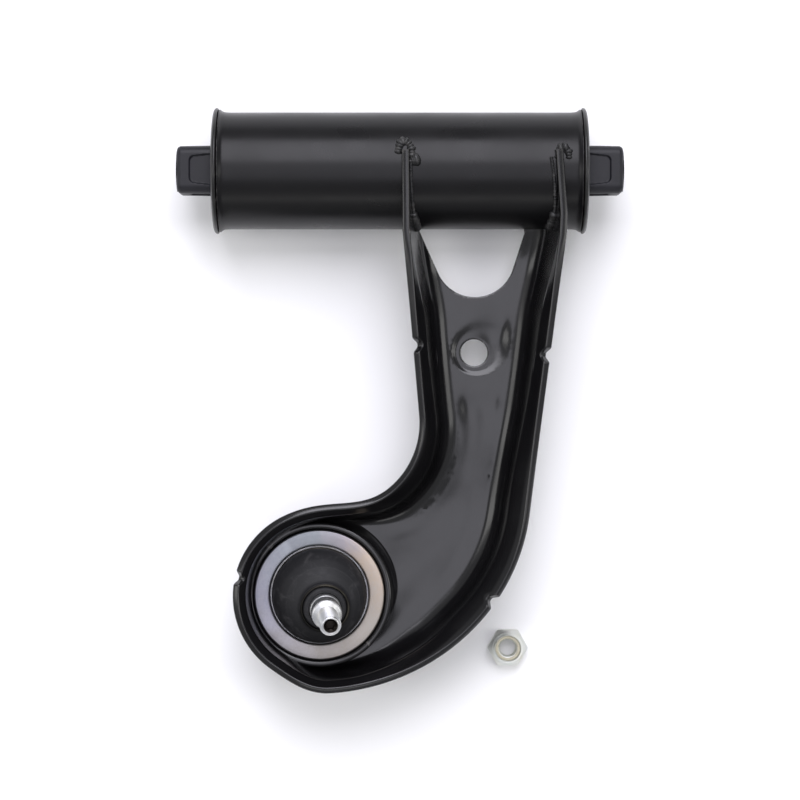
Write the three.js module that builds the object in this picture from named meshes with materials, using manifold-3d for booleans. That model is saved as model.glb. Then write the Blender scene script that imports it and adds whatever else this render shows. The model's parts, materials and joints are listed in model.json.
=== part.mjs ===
// Front upper control arm with its pivot tube, rubber bushes, ball joint and loose lock nut.
// Millimetres. X runs along the pivot tube, Y away from the ball joint, Z towards the stud's side.
// The origin is the middle of the pivot tube's axis.
import * as THREE from 'three';
import { mergeVertices } from 'three/addons/utils/BufferGeometryUtils.js';
import Module from 'manifold-3d';

const wasm = await Module();
wasm.setup();

// Fits
const gap = 0.3; // between pieces that touch
const radialFit = 0.35; // between round pieces that sit in each other

// Pivot tube
const tubeRadius = 27.5;
const tubeWall = 2.5;
const tubeHalfLength = 85.2;
const flareRise = 1.9; // how far the tube's ends open out
const flareLength = 3.6;

// Pivot bushes
const boltBore = 6.15; // radius
const innerSleeveWall = 2.35;
const outerSleeveWall = 2.3;
const bushLength = 40; // from the tube's end inwards
const flangeRise = 2.2; // the flange over the tube's outside
const flangeThickness = 2.5;
const noseSide = 22.6;
const noseLength = 17.3;
const noseTaper = 0.02; // share of the side lost towards the tip
const noseCorner = 4;
const pocketWidth = 13.4;
const pocketLength = 9.4;
const pocketDepth = 0.9;
const spacerWall = 2.6;

// Pressed arm
const sheet = 3.5;
const reach = 200.4; // from the pivot axis to the ball
const rightEarInset = 8; // from the tube's end to the right ear's outer face
const earSpan = 76.4; // over both ears
const ballFromRightEar = 115.4; // sideways
const earOverTube = 3; // height of the ears above the tube
const earPastAxis = 7.5; // how far the ears reach past the pivot axis
const wallHeight = 30.5;
const armDraft = THREE.MathUtils.degToRad(8);
const lipAngle = THREE.MathUtils.degToRad(32);
const lipLength = 6;
const footFillet = 8;
const headFootFillet = 4;
const headMargin = 7.5; // from the ball joint's collar to the outline
const headShift = [1.6, 0.6]; // the head's middle from the ball's axis
const neckRadius = 39.1; // hollow side of the arm
const neckFromHead = [6.2, 80.9]; // its centre from the head's middle
const elbowRadii = [100.9, 95.1]; // round side of the arm
const elbowFromHead = [-2.7, 49.2];
const hornWebDepth = 2; // depth of the web below the pivot axis where it meets the tube
const midWebDepth = 8;
const cutoutRadius = 19;
const cutoutFromTube = 12.7; // its centre from the tube's edge
const leftHornWidth = 8.5;
const rightHornWidth = 18;
const webHoleRadius = 6.4;
const webHoleFromCutout = 26.5; // from the cut-out's lowest point
const seatRadius = 9.8; // coined flat round the hole
const seatDepth = 0.8;
const notchDepth = 2.6;
const notchWidth = 6.5;
const weldRadius = 1.6;

// Ball joint
const ballRadius = 12;
const ballClearance = 0.3;
const seatWall = 4.9;
const upperSeatHeight = 5.2;
const ballBelowSeat = 2.1; // how far the ball reaches below its lower seat
const housingWall = 6.2;
const housingAboveBall = 9;
const mouthClearance = 0.6; // radius of the cup's mouth beyond the ball
const flangeReach = 7; // the cup's flange beyond its body
const flangeHeight = 4.2;
const plateThickness = 2.5;
const plateInset = 1;
const plateToBall = 0.7;
const springThickness = 1.1;
const ringHeight = 3.3;
const ringHole = 23.2; // radius
const collarWall = 3.2;
const collarShoulder = 3; // how far the collar spreads towards the web
const bootRadius = 22.3;
const bootWall = 1.9;
const bootNeckHeight = 21.4;
const wireRadius = 0.6;

// Ball stud, along its own axis from the ball's centre
const studTilt = THREE.MathUtils.degToRad(11.8);
const studLean = THREE.MathUtils.degToRad(-58.3); // heading of the lean, from X
const studNeckRadius = 6;
const studCollarRadius = 8.4;
const studRadius = 7.4;
const taperDrop = 0.3;
const studShoulder = 42;
const threadRadius = 5;
const studLength = 62;
const socketAcross = 4;
const socketDepth = 5;

// Lock nut
const nutAcross = 17;
const nutHexHeight = 7;
const nutHeight = 10;
const nutBore = 4.25;
const nutCollarRadius = 7.2;
const nutInsertWall = 1.5;
const nutFromBall = [90, -27];

// Places that follow from the sizes
const earRight = tubeHalfLength - rightEarInset;
const earLeft = earRight - earSpan;
const flangeRadius = tubeRadius + flangeRise;
const restLevel = -flangeRadius;
const ballX = earRight - ballFromRightEar;
const ballY = -reach;
const ballZ = restLevel + plateInset + plateThickness + plateToBall + ballRadius;
const housingTop = ballZ + housingAboveBall;
const mouthRadius = ballRadius + mouthClearance;
const lowerSeatHeight = ballRadius - ballBelowSeat;
const seatOuter = ballRadius + ballClearance + seatWall;
const housingRadius = seatOuter + radialFit + housingWall;
const housingFlange = housingRadius + flangeReach;
const collarInner = housingFlange + radialFit;
const collarOuter = collarInner + collarWall;
const headWeb = housingTop - flangeHeight - gap - sheet;
const headRadius = collarOuter + headMargin;
const headX = ballX + headShift[0];
const headY = ballY + headShift[1];
const boreRadius = tubeRadius - tubeWall;
const sleeveOuter = boreRadius - radialFit;
const sleeveInner = sleeveOuter - outerSleeveWall;
const innerSleeveRadius = boltBore + innerSleeveWall;
const flangeStart = tubeHalfLength + gap;
const flangeEnd = flangeStart + flangeThickness;
const noseStart = flangeEnd + gap;
const noseEnd = noseStart + noseLength;

function solidFrom(geometry) {
  const bare = geometry.clone();
  bare.deleteAttribute('normal');
  bare.deleteAttribute('uv');
  const merged = mergeVertices(bare, 1e-4);
  const kept = [];
  for (let i = 0; i < merged.index.count; i += 3) {
    const [a, b, c] = [0, 1, 2].map((k) => merged.index.getX(i + k));
    if (a !== b && b !== c && a !== c) kept.push(a, b, c);
  }
  return new wasm.Manifold(new wasm.Mesh({
    numProp: 3,
    vertProperties: merged.attributes.position.array,
    triVerts: new Uint32Array(kept),
  }));
}

function geometryFrom(solid) {
  const mesh = solid.getMesh();
  const geometry = new THREE.BufferGeometry();
  geometry.setAttribute('position', new THREE.BufferAttribute(mesh.vertProperties, 3));
  geometry.setIndex(new THREE.BufferAttribute(mesh.triVerts, 1));
  geometry.computeVertexNormals();
  return geometry;
}

// A profile of [radius, height] turned about Z: up its outer side and down its inner side.
function turned(profile, segments = 36) {
  const points = profile.map(([radius, height]) => new THREE.Vector2(radius, height));
  return new THREE.LatheGeometry(points, segments).rotateX(Math.PI / 2);
}

function ringProfile(inner, outer, low, high) {
  return [[inner, low], [outer, low], [outer, high], [inner, high], [inner, low]];
}

// Points of an arc in a [radius, height] profile, about a centre on the axis.
function profileArc(radius, centre, from, to, steps) {
  return Array.from({ length: steps + 1 }, (_, i) => {
    const angle = THREE.MathUtils.lerp(from, to, i / steps);
    return [radius * Math.sin(angle), centre + radius * Math.cos(angle)];
  });
}

function disc(radius, low, high, segments = 36) {
  return turned([[0, low], [radius, low], [radius, high], [0, high]], segments);
}

// A round rod along a curve.
function rod(curve, radius, steps, sides = 4) {
  const section = new THREE.Shape().absarc(0, 0, radius, 0, 2 * Math.PI);
  return new THREE.ExtrudeGeometry(section, { steps, extrudePath: curve, curveSegments: sides });
}

function prism(shape, low, high, curveSegments = 12) {
  const depth = high - low;
  const options = { depth, bevelEnabled: false, curveSegments };
  return new THREE.ExtrudeGeometry(shape, options).translate(0, 0, low);
}

// Where a line from a point touches an ellipse; side is 1 or -1.
function touchPoint([x, y], [cx, cy], [rx, ry], side) {
  const [across, along] = [(x - cx) / rx, (y - cy) / ry];
  const angle = Math.atan2(along, across) + side * Math.acos(1 / Math.hypot(across, along));
  return [cx + rx * Math.cos(angle), cy + ry * Math.sin(angle), angle];
}

// ---- Pressed arm ----

const step = THREE.MathUtils.smoothstep;
const mix = THREE.MathUtils.lerp;

// Height of the web's upper face.
function webAt(y) {
  const nearTube = step(-y, tubeRadius + 3, tubeRadius + 48);
  const nearHead = step(-y, 0.55 * reach, 0.83 * reach);
  return mix(mix(-hornWebDepth, -midWebDepth, nearTube), headWeb, nearHead);
}

// Height of the wall's cut edge.
function edgeAt(y) {
  const earTop = tubeRadius + earOverTube;
  const armTop = headWeb + wallHeight;
  return mix(earTop, armTop, step(-y, 0.7 * tubeRadius, 0.8 * reach));
}

const headPoint = (angle, radius) => [headX + radius * Math.cos(angle), headY + radius * Math.sin(angle)];

// The arm's outline, from behind the tube down the hollow side, round the head and back up.
function armOutline() {
  const { degToRad } = THREE.MathUtils;
  const past = earPastAxis + 30;
  const neck = [headX + neckFromHead[0], headY + neckFromHead[1]];
  const elbow = [headX + elbowFromHead[0], headY + elbowFromHead[1]];
  const leftFoot = [earLeft + 0.2, -tubeRadius - 2];
  const rightFoot = [earRight, -tubeRadius - 4];
  const neckTouch = touchPoint(leftFoot, neck, [neckRadius, neckRadius], -1);
  const elbowTouch = touchPoint(rightFoot, elbow, elbowRadii, -1);
  const neckEnd = degToRad(-50);
  const [headStart, headEnd, elbowStart] = [degToRad(117), degToRad(235), degToRad(-86)];
  const from = [neck[0] + neckRadius * Math.cos(neckEnd), neck[1] + neckRadius * Math.sin(neckEnd)];
  const to = headPoint(headStart, headRadius);
  const chord = Math.hypot(from[0] - to[0], from[1] - to[1]);
  const [near, far] = [0.35 * chord, 0.45 * chord];
  const low = headPoint(headEnd, headRadius);
  const base = [elbow[0] + elbowRadii[0] * Math.cos(elbowStart), elbow[1] + elbowRadii[1] * Math.sin(elbowStart)];
  const path = new THREE.Path();
  path.moveTo(earLeft - 0.6, past);
  path.lineTo(...leftFoot);
  path.lineTo(neckTouch[0], neckTouch[1]);
  path.absarc(...neck, neckRadius, neckTouch[2], neckEnd, true);
  path.bezierCurveTo(
    from[0] + near * Math.sin(neckEnd), from[1] - near * Math.cos(neckEnd),
    to[0] + far * Math.sin(headStart), to[1] - far * Math.cos(headStart), ...to,
  );
  path.absarc(headX, headY, headRadius, headStart, headEnd, false);
  path.bezierCurveTo(
    low[0] - 11 * Math.sin(headEnd), low[1] + 11 * Math.cos(headEnd), base[0] - 11, base[1] - 0.7, ...base,
  );
  path.absellipse(...elbow, ...elbowRadii, elbowStart, elbowTouch[2], false);
  path.lineTo(...rightFoot);
  path.lineTo(earRight + 0.4, -tubeRadius + 6);
  path.lineTo(earRight - 4.5, past);
  return path.curves.filter((curve) => curve.getLength() > 0.1);
}

// The wall's cross-section at one place: inner face from the cut edge to the web, and outer face.
function wallSection(height, lip, draft, lipRun, fillet, sheetGap) {
  const bend = 5;
  const straight = (height - lipRun * Math.cos(lip) - bend * (Math.sin(lip) - Math.sin(draft))
    - fillet * (1 - Math.sin(draft))) / Math.cos(draft);
  const faces = [];
  let [x, z] = [sheetGap * Math.cos(lip), height];
  const place = (angle) => faces.push({
    inner: [x, z],
    outer: [x - sheetGap * Math.cos(angle), z - sheetGap * Math.sin(angle)],
  });
  const go = (angle, run) => {
    x += run * Math.sin(angle);
    z -= run * Math.cos(angle);
    place(angle);
  };
  const turn = (radius, from, to, steps) => {
    for (let i = 1; i <= steps; i += 1) {
      const before = mix(from, to, (i - 1) / steps);
      const after = mix(from, to, i / steps);
      x += radius * Math.abs(Math.cos(after) - Math.cos(before));
      z -= radius * Math.abs(Math.sin(after) - Math.sin(before));
      place(after);
    }
  };
  place(lip);
  go(lip, lipRun);
  turn(bend, lip, draft, 2);
  go(draft, straight);
  turn(fillet, draft, Math.PI / 2, 3);
  return faces;
}

// The arm's stations: each holds the points of both faces from the cut edge to the web.
function armStations() {
  const curves = armOutline();
  const spots = curves.flatMap((curve) => {
    const pitch = curve.isLineCurve ? 9 : 6;
    const count = Math.max(1, Math.round(curve.getLength() / pitch));
    return Array.from({ length: count }, (_, i) => [curve.getPoint(i / count), curve.getTangent(i / count)]);
  });
  const last = curves.at(-1);
  spots.push([last.getPoint(1), last.getTangent(1)]);
  if (spots.length % 2) spots.splice(1, 1);
  return spots.map(([point, tangent]) => {
    const fromBall = Math.hypot(point.x - ballX, point.y - ballY);
    const nearHead = step(headRadius + 20 - fromBall, 0, 18);
    const awayFromEar = step(-point.y, tubeRadius, tubeRadius + 45);
    const lip = mix(armDraft, lipAngle, awayFromEar);
    const fillet = mix(footFillet, headFootFillet, nearHead);
    const lipRun = mix(2, lipLength, awayFromEar * (1 - 0.5 * nearHead));
    const inward = [-tangent.y, tangent.x];
    const reachIn = sheet + wallHeight * Math.tan(armDraft) + fillet;
    const base = webAt(point.y + inward[1] * reachIn);
    const section = wallSection(edgeAt(point.y) - base, lip, armDraft, lipRun, fillet, sheet);
    const put = ([inset, height]) =>
      new THREE.Vector3(point.x + inward[0] * inset, point.y + inward[1] * inset, base + height);
    return { inner: section.map((face) => put(face.inner)), outer: section.map((face) => put(face.outer)) };
  });
}

// A closed shell from two faces that share one triangle list; its rim is stitched.
function thickened(upper, lower, triangles) {
  const count = upper.length;
  const index = [];
  const edges = new Map();
  for (const [a, b, c] of triangles) {
    index.push(a, b, c, c + count, b + count, a + count);
    for (const [from, to] of [[a, b], [b, c], [c, a]]) {
      const back = to + '_' + from;
      if (edges.has(back)) edges.delete(back);
      else edges.set(from + '_' + to, [from, to]);
    }
  }
  for (const [from, to] of edges.values()) {
    index.push(from, from + count, to + count, from, to + count, to);
  }
  const geometry = new THREE.BufferGeometry().setFromPoints([...upper, ...lower]);
  geometry.setIndex(index);
  return geometry;
}

// The arm's pressed shell, and the space above its underside.
function armShell() {
  const stations = armStations();
  const rows = stations[0].inner.length;
  const lanes = 5;
  const upper = [];
  const lower = [];
  const triangles = [];
  const quad = (a, b, c, d) => triangles.push([a, b, c], [a, c, d]);
  for (const station of stations) {
    upper.push(...station.inner);
    lower.push(...station.outer);
  }
  const at = (i, j) => i * rows + j;
  const foot = (i) => at(i, rows - 1);
  for (let i = 0; i < stations.length - 1; i += 1) {
    for (let j = 0; j < rows - 1; j += 1) quad(at(i, j), at(i + 1, j), at(i + 1, j + 1), at(i, j + 1));
  }
  // The web: lines across the arm between facing stations.
  const half = stations.length / 2;
  const lines = [];
  for (let i = 0; i < half - 1; i += 1) {
    const [left, right] = [foot(i), foot(stations.length - 1 - i)];
    const line = [left];
    for (let k = 1; k < lanes; k += 1) {
      const point = upper[left].clone().lerp(upper[right], k / lanes);
      point.z = webAt(point.y);
      line.push(upper.length);
      upper.push(point);
      lower.push(point.clone().setZ(point.z - sheet));
    }
    lines.push([...line, right]);
  }
  for (let i = 0; i < lines.length - 1; i += 1) {
    for (let k = 0; k < lanes; k += 1) {
      quad(lines[i][k], lines[i + 1][k], lines[i + 1][k + 1], lines[i][k + 1]);
    }
  }
  const end = [foot(half - 1), foot(half), ...lines.at(-1).toReversed()];
  const loop = end.map((k) => new THREE.Vector2(upper[k].x, upper[k].y));
  for (const triangle of THREE.ShapeUtils.triangulateShape(loop, [])) {
    triangles.push(triangle.map((k) => end[k]));
  }
  const lifted = lower.map((point) => point.clone().setZ(2 * wallHeight));
  return [thickened(upper, lower, triangles), thickened(lifted, lower, triangles)];
}

const cutoutX = (earLeft + leftHornWidth + earRight - rightHornWidth) / 2 + 1.3;
const cutoutY = -tubeRadius - cutoutFromTube;
const webHoleY = cutoutY - cutoutRadius - webHoleFromCutout;
const webHoleX = cutoutX - 0.3;

function cutoutShape() {
  const top = -tubeRadius - 1;
  const left = [earLeft + leftHornWidth, top];
  const right = [earRight - rightHornWidth, top];
  const centre = [cutoutX, cutoutY];
  const leftTouch = touchPoint(left, centre, [cutoutRadius, cutoutRadius], 1);
  const rightTouch = touchPoint(right, centre, [cutoutRadius, cutoutRadius], -1);
  const shape = new THREE.Shape();
  shape.moveTo(left[0], top + tubeRadius);
  shape.lineTo(...left);
  shape.lineTo(leftTouch[0], leftTouch[1]);
  shape.absarc(...centre, cutoutRadius, leftTouch[2], rightTouch[2] + 2 * Math.PI, false);
  shape.lineTo(...right);
  shape.lineTo(right[0], top + tubeRadius);
  return shape;
}

// The drawn-up seat of the ball joint: a floor under the cup's flange and a collar round the ring.
function collarProfile() {
  const floor = headWeb + sheet;
  const top = housingTop + gap + ringHeight - 0.6;
  const hole = housingRadius + radialFit;
  return [
    [hole, headWeb], [collarInner, headWeb], [collarOuter - 0.5, headWeb - sheet],
    [collarOuter + collarShoulder, headWeb - sheet], [collarOuter + collarShoulder, headWeb - 0.4],
    [collarOuter + 0.8, floor + 1.5], [collarOuter, top - 0.9], [collarOuter - 0.9, top],
    [collarInner, top], [collarInner, floor], [hole, floor], [hole, headWeb],
  ];
}

// Notches that the press leaves in the walls' edge: a point on the outline and the outline's heading there.
function notchPlaces() {
  const curves = armOutline();
  const [left, head, elbow, right] = [1, 4, 6, 7].map((k) => curves[k]);
  return [[left, 0.62], [head, 0.43], [elbow, 0.67], [right, 0.57]].map(([curve, share]) => [
    curve.getPoint(share), curve.getTangent(share),
  ]);
}

function notch([point, tangent]) {
  const shape = new THREE.Shape();
  shape.moveTo(-notchWidth / 2 - 2, -4);
  shape.lineTo(-notchWidth / 2 - 1, 0);
  shape.lineTo(-notchWidth / 2 + 1.5, notchDepth);
  shape.lineTo(notchWidth / 2 - 1.5, notchDepth);
  shape.lineTo(notchWidth / 2 + 1, 0);
  shape.lineTo(notchWidth / 2 + 2, -4);
  const top = tubeRadius + earOverTube + 5;
  return prism(shape, 0, top).rotateZ(Math.atan2(tangent.y, tangent.x)).translate(point.x, point.y, 0);
}

function armStamping() {
  const tubeSpace = disc(tubeRadius + gap, -2 * tubeHalfLength, 2 * tubeHalfLength, 48).rotateY(Math.PI / 2);
  const behind = new THREE.BoxGeometry(4 * tubeHalfLength, 200, 200);
  behind.translate(0, 100 + earPastAxis, 0);
  const seat = webAt(webHoleY) - seatDepth;
  const [shell, above] = armShell();
  const collar = turned(collarProfile(), 48).translate(ballX, ballY, 0);
  let arm = solidFrom(shell);
  arm = arm.subtract(solidFrom(tubeSpace)).subtract(solidFrom(behind));
  arm = arm.subtract(solidFrom(prism(cutoutShape(), -40, 20)));
  arm = arm.subtract(solidFrom(disc(collarInner, -60, 0, 48).translate(ballX, ballY, 0)));
  arm = arm.add(solidFrom(collar).intersect(solidFrom(above)));
  arm = arm.subtract(solidFrom(disc(seatRadius, seat, 40, 40).translate(webHoleX, webHoleY, 0)));
  arm = arm.subtract(solidFrom(disc(webHoleRadius, -60, 40, 40).translate(webHoleX, webHoleY, 0)));
  for (const place of notchPlaces()) arm = arm.subtract(solidFrom(notch(place)));
  return geometryFrom(arm);
}

// A bead along the foot of an ear's inner face, round the tube; side is 1 for the left ear, -1 for the right.
function earWeld(side) {
  const ring = tubeRadius + gap + weldRadius;
  const earTop = tubeRadius + earOverTube;
  const face = side > 0 ? earLeft : earRight;
  const points = [];
  for (let degrees = 74; degrees >= -12; degrees -= 8.6) {
    const angle = THREE.MathUtils.degToRad(degrees);
    const [y, z] = [-ring * Math.sin(angle), ring * Math.cos(angle)];
    const inset = (sheet + (earTop - z) * Math.tan(armDraft)) / Math.cos(armDraft) + gap + weldRadius + 0.6;
    const lean = side > 0 ? -0.2 : 0.13 * Math.max(0, y + 0.7 * tubeRadius);
    points.push(new THREE.Vector3(face + side * (inset + Math.abs(lean)), y, z));
  }
  return rod(new THREE.CatmullRomCurve3(points), weldRadius, 14);
}

// A bead under the web's end, against the tube.
function underWeld(from, to) {
  const z = -hornWebDepth - sheet - gap - weldRadius - 0.3;
  const y = -Math.sqrt((tubeRadius + gap + weldRadius) ** 2 - z ** 2);
  const line = new THREE.LineCurve3(new THREE.Vector3(from, y, z), new THREE.Vector3(to, y, z));
  return rod(line, weldRadius, 3);
}

// ---- Pivot tube and bushes, turned about X; heights run from the arm's middle to one end ----

function tube() {
  const inner = boreRadius;
  const end = tubeHalfLength;
  const start = end - flareLength;
  const half = [
    [tubeRadius, start], [tubeRadius + 0.35 * flareRise, start + 0.55 * flareLength],
    [tubeRadius + flareRise, end], [inner + flareRise, end],
    [inner + 0.35 * flareRise, start + 0.6 * flareLength], [inner, start],
  ];
  const other = half.map(([radius, height]) => [radius, -height]).reverse();
  return turned([...other, ...half, other[0]], 48);
}

function bushSleeve() {
  const outer = flangeRadius;
  return turned([
    [sleeveInner, tubeHalfLength - bushLength], [sleeveOuter, tubeHalfLength - bushLength],
    [sleeveOuter, flangeStart], [outer - 0.5, flangeStart], [outer, flangeStart + 0.6],
    [outer, flangeEnd - 1.1], [outer - 0.9, flangeEnd - 0.3], [sleeveOuter, flangeEnd],
    [sleeveInner, flangeEnd - 0.5], [sleeveInner, tubeHalfLength - bushLength],
  ], 48);
}

function bushRubber() {
  const inner = innerSleeveRadius + radialFit;
  const outer = sleeveInner - radialFit;
  const low = tubeHalfLength - bushLength + 2;
  return turned([
    [inner, low], [inner + 4, low - 1], [outer - 4, low + 5], [outer, low + 4], [outer, flangeEnd - 1.2],
    [outer - 2, flangeEnd - 0.7], [noseSide / 2 + 2, flangeEnd], [inner, flangeEnd], [inner, low],
  ]);
}

function innerSleeve() {
  return turned(ringProfile(boltBore, innerSleeveRadius, tubeHalfLength - bushLength - 4, noseEnd));
}

function spacerTube() {
  const half = tubeHalfLength - bushLength - 4 - gap;
  return turned(ringProfile(boltBore, boltBore + spacerWall, -half, half));
}

function roundedSquare(side, corner) {
  const half = side / 2;
  const flat = half - corner;
  const shape = new THREE.Shape();
  shape.absarc(flat, flat, corner, 0, Math.PI / 2);
  shape.absarc(-flat, flat, corner, Math.PI / 2, Math.PI);
  shape.absarc(-flat, -flat, corner, Math.PI, 1.5 * Math.PI);
  shape.absarc(flat, -flat, corner, 1.5 * Math.PI, 2 * Math.PI);
  shape.closePath();
  return shape;
}

function bushNose() {
  const rounding = 1.2;
  const body = new THREE.ExtrudeGeometry(roundedSquare(noseSide - 2 * rounding, noseCorner - rounding), {
    depth: noseLength - 0.4 - rounding,
    bevelThickness: rounding,
    bevelSize: rounding,
    bevelSegments: 2,
    curveSegments: 4,
  });
  const place = body.getAttribute('position');
  for (let i = 0; i < place.count; i += 1) {
    const narrow = 1 - noseTaper * Math.max(0, place.getZ(i) / noseLength);
    place.setX(i, place.getX(i) * narrow);
    place.setY(i, place.getY(i) * narrow);
  }
  body.translate(0, 0, noseStart);
  const base = new THREE.BoxGeometry(2 * noseSide, 2 * noseSide, 4).translate(0, 0, noseStart - 2);
  let nose = solidFrom(body).subtract(solidFrom(base));
  for (let quarter = 0; quarter < 4; quarter += 1) {
    const pocket = new THREE.BoxGeometry(pocketWidth, 6, pocketLength + 2);
    pocket.translate(0, noseSide / 2 - pocketDepth + 3, noseStart - 1 + (pocketLength + 2) / 2);
    nose = nose.subtract(solidFrom(pocket.rotateZ((quarter * Math.PI) / 2)));
  }
  const bore = disc(innerSleeveRadius + radialFit, noseStart - 5, noseEnd + 5);
  return geometryFrom(nose.subtract(solidFrom(bore)));
}

// ---- Ball joint, turned about Z through the ball ----

function jointHousing() {
  const bore = seatOuter + radialFit;
  const mouth = ballZ + upperSeatHeight + gap;
  const low = restLevel;
  return turned([
    [bore, low + 0.4], [bore + 1.5, low], [housingRadius - 2, low], [housingRadius, low + 2],
    [housingRadius, housingTop - flangeHeight], [housingFlange, housingTop - flangeHeight],
    [housingFlange, housingTop], [mouthRadius + 3, housingTop], [mouthRadius + 1.4, housingTop - 1],
    [mouthRadius, mouth + 0.4], [mouthRadius, mouth], [bore, mouth], [bore, low + 0.4],
  ], 48);
}

function ballSeat(low, high) {
  const inner = ballRadius + ballClearance;
  const steps = 5;
  const wall = profileArc(inner, ballZ, Math.acos(high / inner), Math.acos(low / inner), steps);
  return turned([
    [seatOuter, ballZ + low], [seatOuter, ballZ + high], ...wall, [seatOuter, ballZ + low],
  ]);
}

function closingPlate() {
  const low = restLevel + plateInset;
  return disc(seatOuter, low, low + plateThickness);
}

function preloadSpring() {
  const low = restLevel + plateInset + plateThickness + gap;
  const high = ballZ - lowerSeatHeight - gap;
  return turned([
    [9, high - springThickness], [16, low], [16, low + springThickness], [9, high], [9, high - springThickness],
  ]);
}

function retainingRing() {
  const low = housingTop + gap;
  const high = low + ringHeight;
  return turned([
    [ringHole, low], [housingFlange, low], [housingFlange, high - 0.7], [housingFlange - 0.7, high],
    [ringHole + 2.4, high], [ringHole + 0.8, high - 0.6], [ringHole, high - 1.8], [ringHole, low],
  ], 48);
}

// The boot stands between the fixed ring and the leaning stud: each level leans by its own share.
function dustBoot() {
  const base = housingTop;
  const r = bootRadius;
  const top = bootNeckHeight;
  const hole = studRadius + radialFit;
  const outerSide = [
    [r, gap], [r, 1.7], [r - 1.2, 2.1], [r - 1.2, 3.3], [r - 0.4, 3.8], [r, 5.2], [r - 0.7, 8], [r - 2.8, 11.2],
    [r - 6.2, 14.4], [r - 9.6, 16.8], [r - 10.6, top - 4], [r - 10.8, top - 2], [r - 12.2, top - 1.6],
    [r - 12.4, top - 0.8], [r - 13.2, top], [hole, top],
  ];
  const innerSide = [
    [hole, top - 4.4], [hole + 2.2, top - 5.6], [r - 6.2 - 2 * bootWall, top - 7.6],
    [r - 2.8 - bootWall, top - 11.4], [r - bootWall, 5.2], [r - 1.2 - bootWall, 2.6], [r - 3.4, gap], [r, gap],
  ];
  const boot = turned([...outerSide, ...innerSide].map(([radius, height]) => [radius, base + height]));
  const place = boot.getAttribute('position');
  const axis = new THREE.Vector3(-Math.sin(studLean), Math.cos(studLean), 0);
  const point = new THREE.Vector3();
  for (let i = 0; i < place.count; i += 1) {
    point.fromBufferAttribute(place, i);
    const share = step(point.z, base + 3, base + bootNeckHeight - 5);
    point.z -= ballZ;
    point.applyAxisAngle(axis, share * studTilt);
    place.setXYZ(i, point.x, point.y, point.z + ballZ);
  }
  return boot;
}

// Measured from the ball's centre along the stud.
function ballStud() {
  const hollow = ballRadius + ballClearance;
  const collarLow = housingAboveBall + 10.5;
  const seat = housingAboveBall + 13.5;
  const body = turned([
    ...profileArc(hollow, 0, 0, Math.asin(studNeckRadius / hollow), 4),
    [studNeckRadius, 16], [studCollarRadius - 0.6, collarLow], [studCollarRadius, collarLow + 1],
    [studCollarRadius, seat - 0.6], [studRadius, seat], [studRadius - taperDrop, studShoulder - 0.5],
    [studRadius - taperDrop - 0.7, studShoulder], [threadRadius - 0.3, studShoulder + 0.7],
    [threadRadius - 0.3, studShoulder + 2], [threadRadius, studShoulder + 2.4],
    [threadRadius, studLength - 0.9], [threadRadius - 0.8, studLength], [0, studLength],
  ]);
  const hexagon = new THREE.CylinderGeometry(1, 1, socketDepth + 1, 6).rotateX(Math.PI / 2);
  const across = socketAcross / Math.sqrt(3);
  hexagon.scale(across, across, 1).translate(0, 0, studLength - socketDepth + (socketDepth + 1) / 2);
  return geometryFrom(solidFrom(body).subtract(solidFrom(hexagon)));
}

function wireRing(radius, thickness, height) {
  return new THREE.TorusGeometry(radius, thickness, 6, 36).translate(0, 0, height);
}

// ---- Lock nut, standing on the level that the arm lies on ----

function lockNut() {
  const corner = nutAcross / Math.sqrt(3);
  const hexagon = new THREE.CylinderGeometry(corner, corner, nutHeight, 6).rotateX(Math.PI / 2);
  hexagon.rotateZ(Math.PI / 6).translate(0, 0, nutHeight / 2);
  const bevel = 1.1;
  const round = turned([
    [0, 0], [nutAcross / 2, 0], [corner, bevel], [corner, nutHexHeight - bevel - 0.6],
    [nutCollarRadius + 0.6, nutHexHeight], [nutCollarRadius, nutHexHeight + 0.3],
    [nutCollarRadius, nutHeight - 0.8], [nutCollarRadius - 0.8, nutHeight], [0, nutHeight],
  ], 36);
  const groove = nutBore + radialFit + nutInsertWall + gap;
  const bore = turned([
    [0, -1], [nutBore + 1, -1], [nutBore + 1, 0], [nutBore, 1], [nutBore, nutHexHeight],
    [groove, nutHexHeight], [groove, nutHeight - 0.6], [groove - 0.5, nutHeight - 0.2],
    [groove - 0.5, nutHeight + 1], [0, nutHeight + 1],
  ], 36);
  return geometryFrom(solidFrom(hexagon).intersect(solidFrom(round)).subtract(solidFrom(bore)));
}

function nutInsert() {
  const inner = nutBore + radialFit;
  const top = nutHeight - 0.6 - gap;
  return turned(ringProfile(inner, inner + nutInsertWall, nutHexHeight + gap, top));
}

// ---- The assembly ----

const material = (color, roughness, metalness) =>
  new THREE.MeshStandardMaterial({ color, roughness, metalness });
const finishes = {
  blackPaint: material(0x0b0b0d, 0.22, 0.1),
  weld: material(0x1a1a1a, 0.6, 0.5),
  rubber: material(0x1b1b1d, 0.75, 0),
  blackPlastic: material(0x15161a, 0.45, 0),
  zinc: material(0xb9b8b4, 0.3, 1),
  steel: material(0xc4c4c6, 0.25, 1),
  seatPlastic: material(0xd8d2c0, 0.5, 0),
};

const group = new THREE.Group();

function add(name, geometry, finish, parent = group) {
  const mesh = new THREE.Mesh(geometry, finishes[finish].clone());
  mesh.name = name;
  parent.add(mesh);
}

add('arm_stamping', armStamping(), 'blackPaint');
add('ear_weld_left', earWeld(1), 'weld');
add('ear_weld_right', earWeld(-1), 'weld');
add('under_weld_left', underWeld(earLeft + 1.5, earLeft + leftHornWidth - 2), 'weld');
add('under_weld_right', underWeld(earRight - rightHornWidth + 1, earRight - 3), 'weld');

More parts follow.
